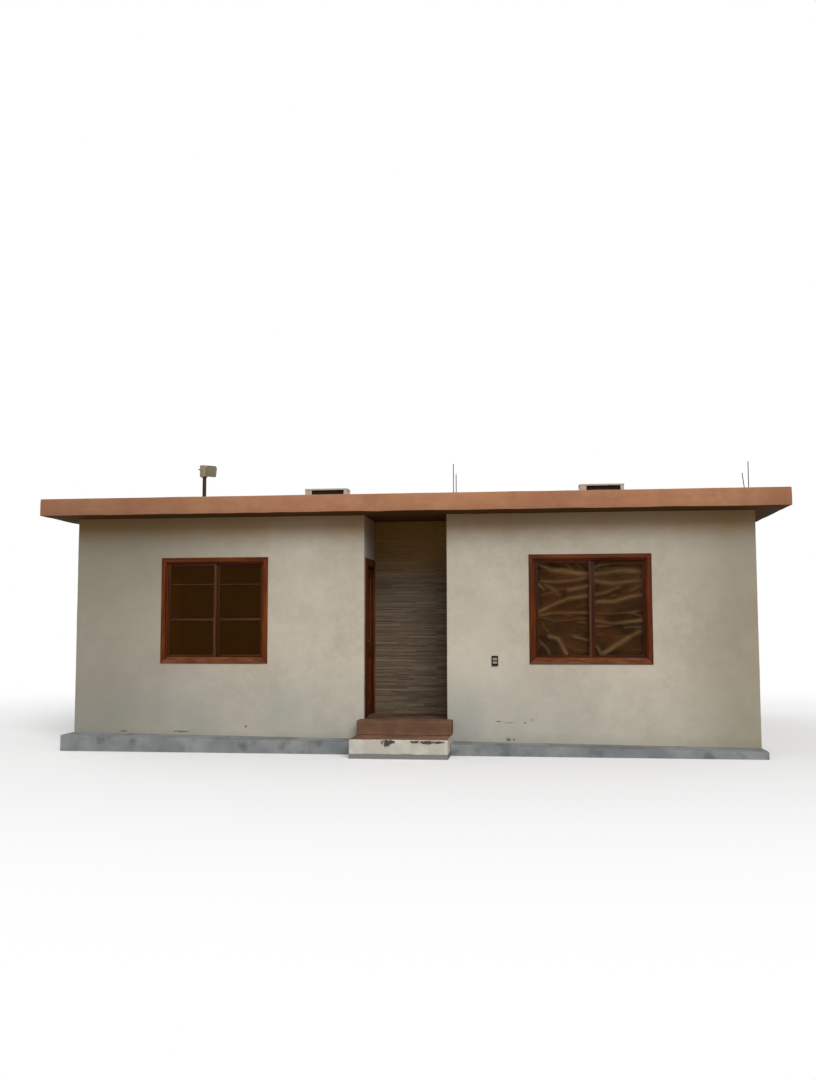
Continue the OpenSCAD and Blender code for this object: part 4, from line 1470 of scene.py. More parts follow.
@dataclass
class StoneCladding:
    """Thin split strips of stone in courses, in two upright fields on a mortar bed."""

    node: str = "stone_cladding"
    seam: float = 0.867
    courses: Pair = (0.012, 0.029)
    lengths: Pair = (0.20, 0.62)
    joint: float = 0.0012
    stand: float = 0.013
    bed: float = 0.006
    patterns: int = 6
    seed: int = 11
    cells: Pair = (0.17, 0.34)
    end_start: float = 0.02
    end_fade: float = 0.1
    arris: float = 0.1
    arris_share: float = 0.55
    end_share: float = 0.65
    swells: Pair = (0.30, 1.0)
    splits: Pair = (0.45, 0.5)
    split_mid: float = 0.2

    def pattern(self, number: int) -> Workpiece:
        """Splits one strip as a unit block whose face is rough and whose arrises are broken.

        Args:
            number: Number of the pattern, which gives it a face of its own.

        Returns:
            The strip, from the origin to (1, 1, 1), with its face at Y 0.
        """
        foot = Vector((3.0 * number, 0, 0))
        strip = Workpiece.block(f"strip_{number}", foot, foot + Vector((1, 1, 1)))
        strip.cut_evenly(Axis.X, self.cells[0]).cut_evenly(Axis.Z, self.cells[1])

        def broken(p: Vector) -> float:
            """How far the face falls back at its ends and arrises.

            Args:
                p: A place on the strip.

            Returns:
                A weight from 0 to 1.
            """
            left, right = p.x - foot.x, foot.x + 1 - p.x
            ends = min(fade(away + self.end_start, self.end_fade) for away in (left, right))
            arris = 1.0 if self.arris < p.z < 1 - self.arris else self.arris_share
            return self.end_share * (1 - ends * arris) if p.y < 0.5 else 0.0

        strip.weigh("face", broken).weigh("split", lambda p: float(p.y < 0.5))
        strip.wear(*self.swells, "face", 0.0, Axis.Y, 0)
        strip.wear(*self.splits, "split", self.split_mid, Axis.Y)
        return strip.put(Matrix.Translation(-foot))

    def build(self) -> None:
        """Lays the strips course by course on their bed."""
        low, high = box(self.node)
        dice = random.Random(self.seed)
        patterns = [self.pattern(k) for k in range(self.patterns)]
        bed = Workpiece.block("cladding_bed", (low.x, high.y - self.bed, low.z), high)
        pieces = [bed.tone(0.0)]
        for left, right in ((low.x, low.x + self.seam), (low.x + self.seam, high.x)):
            height = low.z
            while height < high.z - self.courses[0]:
                course = min(dice.uniform(*self.courses), high.z - height)
                along = left
                while along < right - TOUCH:
                    length = dice.uniform(*self.lengths)
                    if right - along - length < self.lengths[0] / 2:
                        length = right - along
                    front = low.y + dice.uniform(0, self.stand)
                    size = (length - self.joint, high.y - self.bed / 2 - front, course - self.joint, 1)
                    place = Matrix.Translation((along, front, height)) @ Matrix.Diagonal(size)
                    pieces.append(dice.choice(patterns).moved(place).tone(dice.random()))
                    along += length
                height += course
        for pattern in patterns:
            pattern.discard()
        cladding = joined("split_stone_cladding", pieces)
        cladding.reshape(lambda p: Vector(min(max(c, a), b) for c, a, b in zip(p, low, high)))
        cladding.smooth(24).finish(STONE).fit("house", "ledger_stone", self.node)


def board(name: str, low: Place, high: Place, grain: Axis, tone: float, ease: float = 0.002) -> Workpiece:
    """Planes a board with eased arrises, its grain along an axis of the house and its tone 0 to 1."""
    return Workpiece.block(name, low, high).round_all(ease).tone(tone).finish(TIMBER[grain])


@dataclass
class Window:
    """A moulded timber casing with two sliding leaves.

    It is made with X along the wall, Y inwards from the plaster and Z up, and is then set in
    the wall by one matrix for each opening that it fills.
    """

    name: str
    casing: str
    sash: str
    width: float
    height: float
    settings: tuple[Matrix, ...]
    barred: bool = True
    sideways: Axis = Axis.X
    proud: float = 0.012
    depth: float = 0.115
    step: float = 0.060
    lip: float = 0.022
    step_d: float = 0.020
    ease: float = 0.006
    bead: float = 0.011
    groove: float = 0.003
    mitre_gap: float = 0.0003
    leaf_y: float = 0.030
    leaf_d: float = 0.022
    leaf_gap: float = 0.002
    rail: float = 0.034
    meeting: float = 0.036
    rear_meeting: float = 0.080
    upper_light: float = 0.234
    middle_light: float = 0.448
    upper_bar: float = 0.014
    lower_bar: float = 0.030
    bar_set_back: float = 0.003
    casing_tones: Pair = (0.42, 0.62)

    @property
    def inner(self) -> float:
        """How far the casing reaches into the opening."""
        return self.step + self.lip

    def member(self, length: float, grain: Axis) -> Workpiece:
        """Shapes one side of the casing and mitres its ends.

        Args:
            length: Length along its outer edge.
            grain: Axis of its grain in the house.

        Returns:
            The member, with its outer edge along X.
        """
        front = -self.proud
        bead_foot = self.step - self.bead
        groove_foot = bead_foot - self.groove
        piece = Workpiece.block("member", (0, front, 0), (length, self.depth, self.step))
        piece.split(Axis.Y, self.step_d)
        piece.pick_faces(lambda c, n: n.z > 0.5 and c.y > self.step_d).pull((0, 0, self.lip))
        piece.split(Axis.Z, bead_foot).split(Axis.Z, groove_foot)
        piece.pick_faces(lambda c, n: n.y < -0.5 and groove_foot < c.z < bead_foot)
        piece.pull((0, self.groove, 0))

        def arris(a: Vector, b: Vector) -> bool:
            """Whether an edge is one of the casing's three long front arrises."""
            places = ((front, 0.0), (front, self.step), (self.step_d, self.inner))
            return any(max(abs(p.y - y) + abs(p.z - z) for p in (a, b)) < TOUCH for y, z in places)

        piece.round_edges(self.ease, 3, arris)
        piece.trim(Vector((self.mitre_gap, 0, 0)), Vector((-1, 0, 1)))
        piece.trim(Vector((length - self.mitre_gap, 0, 0)), Vector((1, 0, 1)))
        return piece.finish(TIMBER[grain])

    def frame(self) -> list[Workpiece]:
        """Makes the casing's four sides where they stand.

        Returns:
            The bottom, right, top and left side.
        """
        w, h = self.width, self.height
        level, upright = self.member(w, self.sideways), self.member(h, Axis.Z)
        made = [piece.moved(Matrix.Translation((x, 0, z)) @ turned(angle, Axis.Y))
                for piece, x, z, angle in ((level, 0, 0, 0), (upright, w, 0, -90),
                                           (level, w, h, 180), (upright, 0, h, 90))]
        # The bottom member is paler: dust and a painted highlight.
        made[0].finish(DUST_AND_HIGHLIGHT_TIMBER[self.sideways])
        level.discard()
        upright.discard()
        return made

    def leaf(self, left: float, right: float, front: float, stiles: Pair,
             tones: Pair) -> list[Workpiece]:
        """Joins one sliding leaf from its stiles, rails and glazing bars.

        Args:
            left: Its left end.
            right: Its right end.
            front: Its front face.
            stiles: Widths of its left and right stile.
            tones: Tones of its left and right stile, which paint light and shade.

        Returns:
            Its boards.
        """
        foot, head = self.inner, self.height - self.inner
        back = front + self.leaf_d
        first, last = left + stiles[0], right - stiles[1]
        boards = [
            board("stile", (left, front, foot), (first, back, head), Axis.Z, tones[0]),
            board("stile", (last, front, foot), (right, back, head), Axis.Z, tones[1]),
            board("rail", (first, front, foot), (last, back, foot + self.rail), self.sideways, 0.22),
            board("rail", (first, front, head - self.rail), (last, back, head), self.sideways, 0.15),
        ]
        if self.barred:
            upper = head - self.rail - self.upper_light - self.upper_bar
            lower = upper - self.middle_light - self.lower_bar
            middle = front + self.leaf_d / 2 - self.bar_set_back
            for z, height in ((upper, self.upper_bar), (lower, self.lower_bar)):
                bar = board("bar", (first, front, z), (last, middle, z + height), self.sideways, 0.38)
                # The bars take the paler timber: a painted highlight.
                boards.append(bar.finish(HIGHLIT_TIMBER[self.sideways]))
        return boards

    def leaves(self) -> list[Workpiece]:
        """Makes the front leaf at the left and the rear leaf at the right.

        Returns:
            The boards of both.
        """
        w, rear = self.width, self.leaf_y + self.leaf_d + self.leaf_gap
        # The stiles' tones paint light and shade: the front meeting stile lighter, the rear leaf darker, its
        # meeting stile darkest.
        front_leaf = self.leaf(self.inner, (w + self.meeting) / 2, self.leaf_y,
                               (self.rail, self.meeting), (0.2, 0.5))
        # The front meeting stile takes the paler timber: a painted highlight.
        front_leaf[1].finish(HIGHLIT_TIMBER[Axis.Z])
        rear_leaf = self.leaf((w - self.meeting) / 2, w - self.inner, rear,
                              (self.rear_meeting, self.rail), (0.0, 0.3))
        return front_leaf + rear_leaf

    def build(self) -> None:
        """Makes the window once and sets a copy in each of its openings."""
        dice = random.Random(self.name)
        casing, leaves = self.frame(), self.leaves()
        sides = copied(casing, self.settings)
        for side in sides:
            side.tone(dice.uniform(*self.casing_tones))
        for part, node, made in (("casing", self.casing, sides),
                                 ("leaves", self.sash, copied(leaves, self.settings))):
            joined(f"{self.name}_{part}", made).smooth(30).fit("house", "window_timber", node)


def all_windows() -> list[Window]:
    """The house's windows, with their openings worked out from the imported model.

    Returns:
        The windows, each with all its openings.
    """
    left_low, left_high = box("left_window_casing")
    right_low, right_high = box("right_window_casing")
    walls_low, _ = box("foundation")
    front, side, foot = walls_low.y, walls_low.x, left_low.z
    w, h = left_high.x - left_low.x, left_high.z - left_low.z
    right_w = right_high.x - right_low.x

    def setting(angle: float, x: float, y: float) -> Matrix:
        """The place of a window in a wall, turned round the house's middle."""
        return turned(angle, Axis.Z) @ Matrix.Translation((x, y, foot))

    return [
        Window("left_window", "left_window_casing", "left_window_sash", w, h,
               (setting(0, left_low.x, front),)),
        Window("right_window", "right_window_casing", "right_window_sash", right_w, h,
               (setting(0, right_low.x, front),), barred=False),
        Window("side_windows", "side_window_casings", "side_window_sashes", w, h,
               (setting(-90, -w / 2, side), setting(90, -w / 2, side)), sideways=Axis.Y),
        Window("back_windows", "back_window_casings", "back_window_sashes", w, h,
               (setting(180, left_low.x, front), setting(180, -left_low.x - w, front))),
    ]


@dataclass(frozen=True)
class Fold:
    """A fold of the sheet: its crest from point to point, its half width and its height."""

    crest: tuple[Pair, ...]
    half: float = 0.030
    height: float = 0.8

    def rise(self, x: float, z: float) -> float:
        """How much the fold lifts the sheet at a place, as a share of the fullest fold."""
        away = min(self.beside(x, z, a, b) for a, b in zip(self.crest, self.crest[1:]))
        return self.height * math.exp(-((away / (1.2 * self.half)) ** 1.5))

    @staticmethod
    def beside(x: float, z: float, a: Pair, b: Pair) -> float:
        """How far a place lies from a straight stretch of crest.

        Args:
            x: Place from the sheet's left edge.
            z: Place from the sheet's foot.
            a: Start of the stretch.
            b: End of the stretch.

        Returns:
            The distance to its nearest point.
        """
        run, fall = b[0] - a[0], b[1] - a[1]
        share = ((x - a[0]) * run + (z - a[1]) * fall) / (run * run + fall * fall)
        share = min(max(share, 0.0), 1.0)
        return math.hypot(x - a[0] - share * run, z - a[1] - share * fall)


@dataclass
class CrumpledSheet:
    """The thin brown sheet behind the right window, creased where it is held at the frame."""

    node: str = "right_window_sheet"
    cell: float = 0.009
    thickness: float = 0.0006
    fullest: float = 0.026
    margin: float = 0.002
    set_back: float = 0.003
    overlap: float = 0.3
    flat: Pair = (1.42, 1.28)
    folds: tuple[Fold, ...] = (
        Fold(((0.03, 1.22), (0.19, 1.13), (0.37, 1.10), (0.68, 1.06)), 0.034, 1.0),
        Fold(((0.37, 1.22), (0.47, 1.13)), 0.016, 0.7),
        Fold(((0.53, 1.19), (0.59, 1.15)), 0.016, 0.5),
        Fold(((0.58, 1.21), (0.67, 1.18)), 0.016, 0.5),
        Fold(((0.07, 0.98), (0.27, 0.97), (0.52, 0.99), (0.67, 1.03)), 0.026, 0.7),
        Fold(((0.03, 0.95), (0.10, 0.88)), 0.024, 0.7),
        Fold(((0.13, 0.93), (0.24, 0.87), (0.29, 0.80)), 0.030, 0.6),
        Fold(((0.07, 0.80), (0.23, 0.84)), 0.024, 0.6),
        Fold(((0.42, 0.86), (0.66, 0.91)), 0.032, 0.9),
        Fold(((0.04, 0.59), (0.27, 0.69), (0.43, 0.75), (0.66, 0.79)), 0.030, 1.0),
        Fold(((0.52, 0.63), (0.66, 0.67)), 0.014, 0.5),
        Fold(((0.05, 0.54), (0.23, 0.57), (0.66, 0.57)), 0.020, 0.8),
        Fold(((0.05, 0.51), (0.23, 0.47), (0.38, 0.47), (0.66, 0.50)), 0.014, 0.6),
        Fold(((0.53, 0.44), (0.66, 0.43)), 0.012, 0.5),
        Fold(((0.07, 0.42), (0.15, 0.33)), 0.014, 0.6),
        Fold(((0.17, 0.27), (0.28, 0.24), (0.34, 0.13), (0.38, 0.05)), 0.030, 1.0),
        Fold(((0.04, 0.21), (0.13, 0.13), (0.17, 0.05)), 0.022, 0.8),
        Fold(((0.48, 0.27), (0.65, 0.22)), 0.024, 0.9),
        Fold(((0.42, 0.13), (0.60, 0.06)), 0.030, 0.5),
        Fold(((0.55, 0.39), (0.66, 0.34)), 0.014, 0.5),
        Fold(((0.73, 1.14), (0.82, 1.19), (0.96, 1.22), (1.35, 1.21)), 0.026, 0.9),
        Fold(((0.73, 1.06), (0.95, 1.09), (1.14, 1.11), (1.35, 1.09)), 0.032, 1.0),
        Fold(((0.75, 0.98), (1.00, 0.94), (1.35, 0.98)), 0.038, 0.8),
        Fold(((1.21, 0.85), (1.35, 0.91)), 0.024, 0.7),
        Fold(((0.76, 0.80), (0.89, 0.83), (1.05, 0.89)), 0.028, 0.7),
        Fold(((0.72, 0.65), (0.78, 0.71), (1.00, 0.71), (1.19, 0.77), (1.35, 0.80)), 0.030, 1.0),
        Fold(((0.72, 0.56), (1.00, 0.56), (1.21, 0.57), (1.35, 0.61)), 0.018, 0.7),
        Fold(((1.21, 0.57), (1.35, 0.52)), 0.016, 0.6),
        Fold(((0.72, 0.48), (0.83, 0.46), (0.95, 0.43), (1.34, 0.47)), 0.026, 0.9),
        Fold(((0.72, 0.39), (0.92, 0.40)), 0.018, 0.6),
        Fold(((1.12, 0.38), (1.32, 0.39)), 0.018, 0.6),
        Fold(((0.72, 0.28), (0.81, 0.28)), 0.014, 0.5),
        Fold(((0.84, 0.04), (0.99, 0.14), (1.19, 0.26), (1.32, 0.33)), 0.034, 1.0),
        Fold(((0.72, 0.17), (0.79, 0.13), (0.82, 0.04)), 0.020, 0.7),
    )

    def build(self) -> None:
        """Cuts the sheet, creases it fold by fold and hangs it behind the panes."""
        low, high = box(self.node)
        size, middle = high - low, (low + high) / 2
        sheet = Workpiece.added(
            "crumpled_sheet", bpy.ops.mesh.primitive_grid_add,
            x_subdivisions=round(size.x / self.cell), y_subdivisions=round(size.z / self.cell), size=1)
        spread = Matrix.Diagonal((size.x - 2 * self.margin, size.z - 2 * self.margin, 1, 1))
        place = Matrix.Translation((middle.x, high.y - self.set_back, middle.z))
        sheet.put(place @ turned(90, Axis.X) @ spread)

        def rise(p: Vector) -> float:
            """How far a point lies up the folds: on the fullest, and a little on the next.

            Args:
                p: The point.

            Returns:
                Its rise from 0 to 1.
            """
            x, z = p.x - low.x, p.z - low.z
            lifts = sorted((fold.rise(x, z) for fold in self.folds), reverse=True)
            return min(lifts[0] + self.overlap * lifts[1], 1.0)

        # Each point carries its rise, on which the finish paints a highlight.
        sheet.carry("crest", [rise(vertex.co) for vertex in sheet.obj.data.vertices])
        sheet.weigh("folds", rise)
        sheet.modify("DISPLACE", strength=-self.fullest, mid_level=0, direction="Y", vertex_group="folds")
        sheet.obj.vertex_groups.clear()
        sheet.modify("SOLIDIFY", thickness=self.thickness, offset=0)
        sheet.smooth(60).finish(SUN_SHEET).fit("house", "sun_sheet", self.node)


@dataclass
class Doorway:
    """The framed entrance door at the recess's left side."""

    jamb: float = 0.040
    jamb_d: float = 0.065
    stop: float = 0.016
    stop_d: float = 0.020
    casing_t: float = 0.015
    casing_ease: float = 0.004
    stile: float = 0.112
    bottom_rail: float = 0.210
    lock_rail: float = 0.150
    top_rail: float = 0.125
    lower_panel: float = 0.560
    leaf_ease: float = 0.003
    lip_w: float = 0.0068
    bevel_w: float = 0.0272
    bevel_d: float = 0.009
    set_back: float = 0.004

    def build(self) -> None:
        """Makes the frame and the leaf."""
        self.frame()
        self.leaf()

    def frame(self) -> None:
        """Joins jambs, head, stops and casing boards round the opening."""
        low, high = box("door_frame")
        wall_low, wall_high = box("wall_over_door")
        face, foot, top = high.x - self.casing_t, low.z, wall_low.z
        inside, stop_x, head = face - self.jamb_d, face - self.stop_d, top - self.jamb
        first, last = wall_low.y + self.jamb, wall_high.y - self.jamb
        near, far, under = first + self.stop, last - self.stop, head - self.stop
        casing_end = box("stone_cladding")[0].y
        boards = [
            board("jamb", (inside, wall_low.y, foot), (face, first, top), Axis.Z, 0.4),
            board("jamb", (inside, last, foot), (face, wall_high.y, top), Axis.Z, 0.45),
            board("head", (inside, first, head), (face, last, top), Axis.Y, 0.5),
            board("stop", (stop_x, first, foot), (face, near, head), Axis.Z, 0.3),
            board("stop", (stop_x, far, foot), (face, last, head), Axis.Z, 0.3),
            board("stop", (stop_x, near, under), (face, far, head), Axis.Y, 0.3),
        ]
        for start, end, foot_z, grain, tone in ((low.y, near, foot, Axis.Z, 0.35),
                                                (far, casing_end, foot, Axis.Z, 0.6),
                                                (near, far, under, Axis.Y, 0.5)):
            boards.append(board("casing", (face, start, foot_z), (high.x, end, high.z), grain, tone,
                                self.casing_ease))
        joined("entrance_frame", boards).smooth(30).fit("house", "door_timber", "door_frame")

    def leaf(self) -> None:
        """Joins the leaf from stiles, rails and two raised panels."""
        low, high = box("door_leaf")
        first, last = low.y + self.stile, high.y - self.stile
        lower = low.z + self.bottom_rail
        lock = lower + self.lower_panel
        upper = lock + self.lock_rail
        top = high.z - self.top_rail
        boards = [
            board("stile", low, (high.x, first, high.z), Axis.Z, 0.40, self.leaf_ease),
            board("stile", (low.x, last, low.z), high, Axis.Z, 0.55, self.leaf_ease),
        ]
        for foot, head, tone in ((low.z, lower, 0.5), (lock, upper, 0.35), (top, high.z, 0.45)):
            boards.append(board("rail", (low.x, first, foot), (high.x, last, head), Axis.Y, tone,
                                self.leaf_ease))
        for foot, head, tone in ((lower, lock, 0.6), (upper, top, 0.5)):
            boards.append(self.panel((low.x, first, foot), (high.x, last, head), tone))
        joined("entrance_leaf", boards).smooth(30).fit("door", "door_timber", "door_leaf")

    def panel(self, low: Place, high: Place, tone: float) -> Workpiece:
        """Shapes a panel with a sunk edge and a raised, bevelled field on both faces.

        Args:
            low: Lowest corner of its opening.
            high: Highest corner of its opening.
            tone: How pale it is.

        Returns:
            The panel.
        """
        sunk = Vector((self.set_back + self.bevel_d, 0, 0))
        piece = Workpiece.block("panel", Vector(low) + sunk, Vector(high) - sunk)
        for side in (-1, 1):
            piece.pick_faces(lambda c, n: n.x * side > 0.5)
            piece.press(self.lip_w, 0.0).press(self.bevel_w, -self.bevel_d)
        return piece.tone(tone).finish(TIMBER[Axis.Z])


@dataclass
class OutletPlate:
    """A dark outlet plate with two pale modules beside the right window."""

    node: str = "outlet_box"
    corner: float = 0.008
    rim: float = 0.002
    module: Pair = (0.054, 0.028)
    module_ease: float = 0.001
    gap: float = 0.016
    stand: float = 0.003
    pin: float = 0.0022
    pin_ease: float = 0.0004
    pins: tuple[Pair, ...] = ((-0.012, 0.008), (0.004, 0.008), (0.014, 0.004))
    screw_r: float = 0.0035
    screw_in: float = 0.009
    screw_out: float = 0.0012
    screw_ease: float = 0.0006

    def build(self) -> None:
        """Makes the plate, its modules with their sockets, and two screws."""
        low, high = box(self.node)
        front = low.y + self.stand
        seat = front + self.module_ease
        plate = Workpiece.block("plate", (low.x, front, low.z), high)
        plate.round_edges(self.corner, 4, lambda a, b: abs(a.x - b.x) + abs(a.z - b.z) < TOUCH)
        plate.round_edges(self.rim, 2, lambda a, b: max(a.y, b.y) < front + TOUCH)
        pieces = [plate.finish(BLACK_PLASTIC)]
        middle = (low + high) / 2
        width, height = self.module
        for side in (-1, 1):
            centre = middle.z + side * (height + self.gap) / 2
            cover = Workpiece.block("cover", (middle.x - width / 2, low.y, centre - height / 2),
                                    (middle.x + width / 2, seat, centre + height / 2))
            pieces.append(cover.round_all(self.module_ease).finish(MODULE))
            for across, tall in self.pins:
                x = middle.x + across
                hole = Workpiece.block("slot", (x - self.pin / 2, low.y, centre - tall / 2),
                                       (x + self.pin / 2, low.y + self.rim, centre + tall / 2))
                pieces.append(hole.round_all(self.pin_ease).finish(BLACK_PLASTIC))
        for z in (low.z + self.screw_in, high.z - self.screw_in):
            screw = Workpiece.rod("screw", (middle.x, seat, z), (middle.x, front - self.screw_out, z),
                                  self.screw_r, 12)
            pieces.append(screw.round_all(self.screw_ease).finish(RUBBER))
        joined("outlet_plate", pieces).smooth(35).fit("house", "black_plastic", self.node)


@dataclass
class OutdoorUnits:
    """Two air conditioners' outdoor units: coil fins, wire rails, twisted fans and guards."""

    lefts: Pair = (-2.018, 2.400)
    front: float = -0.400
    foot: float = 3.343
    size: Place = (0.705, 0.310, 0.500)
    coil: Pair = (0.115, 0.645)
    coil_z: Pair = (0.029, 0.475)
    coil_y: Pair = (0.016, 0.038)
    fin_step: float = 0.010
    fin_t: float = 0.0012
    fin_set_back: float = 0.004
    back_plate: Pair = (0.004, 0.001)
    rails: int = 9
    stays: int = 4
    wire_r: float = 0.0022
    rail_out: float = 0.0028
    stay_in: float = 0.001
    fan_r: float = 0.194
    hub_r: float = 0.048
    hub: Pair = (0.190, 0.276)
    hub_ease: float = 0.008
    blades: int = 5
    blade_t: float = 0.0036
    blade_w: float = 0.110
    blade_root: float = 0.8
    blade_cells: Pair = (0.020, 0.022)
    blade_ease: float = 0.0012
    root_pitch: float = 42.5
    untwist: float = 18.7
    root_chord: float = 0.72
    widening: float = 0.5
    sweep: float = 0.012
    hollow: float = 6.0
    tip_round: float = 8.0
    flatness: float = 0.55
    guard_y: float = 0.3085
    guard_r: float = 0.222
    guard_rings: int = 5
    spokes: int = 8
    guard_inset: float = 0.003
    ring_r: float = 0.0026
    spoke_r: float = 0.0024
    spoke_ends: Pair = (0.03, 0.004)
    spoke_back: float = 0.001
    cap_r: float = 0.044
    cap_out: float = 0.0022
    cap_ease: float = 0.0015
    screw_r: float = 0.005
    screw_ease: float = 0.0008
    face_screws: Place = (0.045, 0.060, 0.050)
    face_screw_y: Pair = (0.006, 0.0018)
    top_screws: Pair = (0.020, 0.012)
    top_screw_y: Pair = (0.002, -0.0015)
    grip: tuple[Place, Place] = ((0.0012, 0.110, 0.330), (0.006, 0.200, 0.375))
    grip_press: Pair = (0.006, 0.0025)
    valve: tuple[Place, Place] = ((0.006, 0.100, 0.050), (0.0012, 0.250, 0.210))
    valve_press: Pair = (0.010, 0.0015)
    fitting_ease: float = 0.001

    def build(self) -> None:
        """Makes everything that stands in, behind or on the sheet metal cases."""
        self.placed("unit_coils", self.coils(), "coil_aluminium", "condenser_coils")
        self.placed("unit_fans", self.fan(), "black_plastic", "condenser_fans")
        self.placed("unit_guards", self.guard(), "black_plastic", "condenser_guards")
        self.placed("unit_fittings", self.fittings(), "pale_enamel")

    def placed(self, name: str, made: list[Workpiece], slot: str, *nodes: str) -> None:
        """Joins the parts of one unit, sets a copy on each unit and lets them ride.

        Args:
            name: Name of the joined piece.
            made: Parts of one unit, which starts at the origin.
            slot: Material slot of the record.
            nodes: Nodes that they stand for.
        """
        places = [Matrix.Translation((x, self.front, self.foot)) for x in self.lefts]
        both = joined(name, copied([joined(name, made)], places))
        both.smooth(35).fit("house", slot, *nodes)

    def coils(self) -> list[Workpiece]:
        """Stacks the fins between two end plates, with wire rails in front.

        Returns:
            The fins, their back plate, the rails and the stays.
        """
        (left, right), (foot, head), (near, far) = self.coil, self.coil_z, self.coil_y
        fin_y, (deep, shallow) = near + self.fin_set_back, self.back_plate
        count = round((right - left) / self.fin_step)
        made = []
        for k in range(count + 1):
            x = left + (right - left - self.fin_t) * k / count
            made.append(Workpiece.block("fin", (x, fin_y, foot), (x + self.fin_t, far, head)))
        made.append(Workpiece.block("coil_back", (left, far - deep, foot), (right, far - shallow, head)))
        rail_y, stay_y = near - self.rail_out, near + self.stay_in
        for k in range(1, self.rails):
            z = foot + (head - foot) * k / self.rails
            made.append(Workpiece.rod("rail", (left, rail_y, z), (right, rail_y, z), self.wire_r, 8))
        for k in range(1, self.stays):
            x = left + (right - left) * k / self.stays
            made.append(Workpiece.rod("stay", (x, stay_y, foot), (x, stay_y, head), self.wire_r, 8))
        return [piece.finish(COIL) for piece in made]

    def fan(self) -> list[Workpiece]:
        """Turns the hub and sets its blades, which twist from root to tip.

        Returns:
            The hub and the blades.
        """
        x, z = self.size[0] / 2, self.size[2] / 2
        near, far = self.hub
        hub = Workpiece.rod("hub", (x, near, z), (x, far, z), self.hub_r, 32)
        hub.round_edges(self.hub_ease, 3, lambda a, b: min(a.y, b.y) > far - TOUCH)
        half_t, half_w = self.blade_t / 2, self.blade_w / 2
        blade = Workpiece.block("blade", (self.hub_r * self.blade_root, -half_t, -half_w),
                                (self.fan_r, half_t, half_w))
        blade.cut_evenly(Axis.X, self.blade_cells[0]).cut_evenly(Axis.Z, self.blade_cells[1])

        def twisted(p: Vector) -> Vector:
            """Twists a point of the flat blade, sweeps it back and hollows it.

            Args:
                p: The point.

            Returns:
                Its new place.
            """
            out = (p.x - self.hub_r) / (self.fan_r - self.hub_r)
            angle = math.radians(self.root_pitch - self.untwist * out)
            chord = p.z * (self.root_chord + self.widening * out) + self.sweep * out * out
            deep = p.y + self.hollow * p.z * p.z
            reach = p.x - self.tip_round * max(out, 0.0) * p.z * p.z
            return Vector((reach, deep * math.cos(angle) + chord * math.sin(angle) * self.flatness,
                           chord * math.cos(angle)))

        blade.reshape(twisted).round_all(self.blade_ease, 2, 60)
        centre = Matrix.Translation((x, (near + far) / 2, z))
        places = [centre @ turned(360 * k / self.blades, Axis.Y) for k in range(self.blades)]
        return [piece.finish(BLACK_PLASTIC) for piece in [hub, *copied([blade], places)]]

    def guard(self) -> list[Workpiece]:
        """Bends the guard's rings and spokes and its middle cap.

        Returns:
            The rings, the spokes and the cap.
        """
        x, z, y = self.size[0] / 2, self.size[2] / 2, self.guard_y
        centre = Vector((x, y - self.spoke_back, z))
        inner, outer = self.spoke_ends
        made = []
        for k in range(2, self.guard_rings + 1):
            radius = self.guard_r * k / self.guard_rings - self.guard_inset
            made.append(Workpiece.ring("ring", (x, y, z), radius, self.ring_r, Axis.Y))
        for k in range(self.spokes):
            angle = 2 * math.pi * (k + 0.5) / self.spokes
            way = Vector((math.cos(angle), 0, math.sin(angle)))
            made.append(Workpiece.rod("spoke", centre + way * inner, centre + way * (self.guard_r - outer),
                                      self.spoke_r, 8))
        cap = Workpiece.rod("cap", (x, y - self.guard_inset, z), (x, y + self.cap_out, z), self.cap_r, 32)
        made.append(cap.round_edges(self.cap_ease, 2, lambda a, b: min(a.y, b.y) > y))
        return [piece.finish(BLACK_PLASTIC) for piece in made]

    def fittings(self) -> list[Workpiece]:
        """Adds the screws, the side grip and the valve cover.

        Returns:
            The small fittings of one unit.
        """
        w, _, h = self.size
        side, foot, under = self.face_screws
        edge, drop = self.top_screws
        places = [(x, z, self.face_screw_y) for x in (side, w - side) for z in (foot, h - under)]
        places += [(x, h - drop, self.top_screw_y) for x in (edge, w / 2, w - edge)]
        made = []
        for x, z, (back, front) in places:
            screw = Workpiece.rod("screw", (x, back, z), (x, front, z), self.screw_r, 12)
            made.append(screw.round_all(self.screw_ease).finish(STEEL))
        grip = Workpiece.block("grip", *self.grip)
        grip.pick_faces(lambda c, n: n.x < -0.5).press(*self.grip_press)
        (deep, *low), (shallow, *high) = self.valve
        cover = Workpiece.block("valve_cover", (w - deep, *low), (w - shallow, *high))
        cover.pick_faces(lambda c, n: n.x > 0.5).press(*self.valve_press)
        return made + [piece.round_all(self.fitting_ease).finish(ENAMEL) for piece in (grip, cover)]


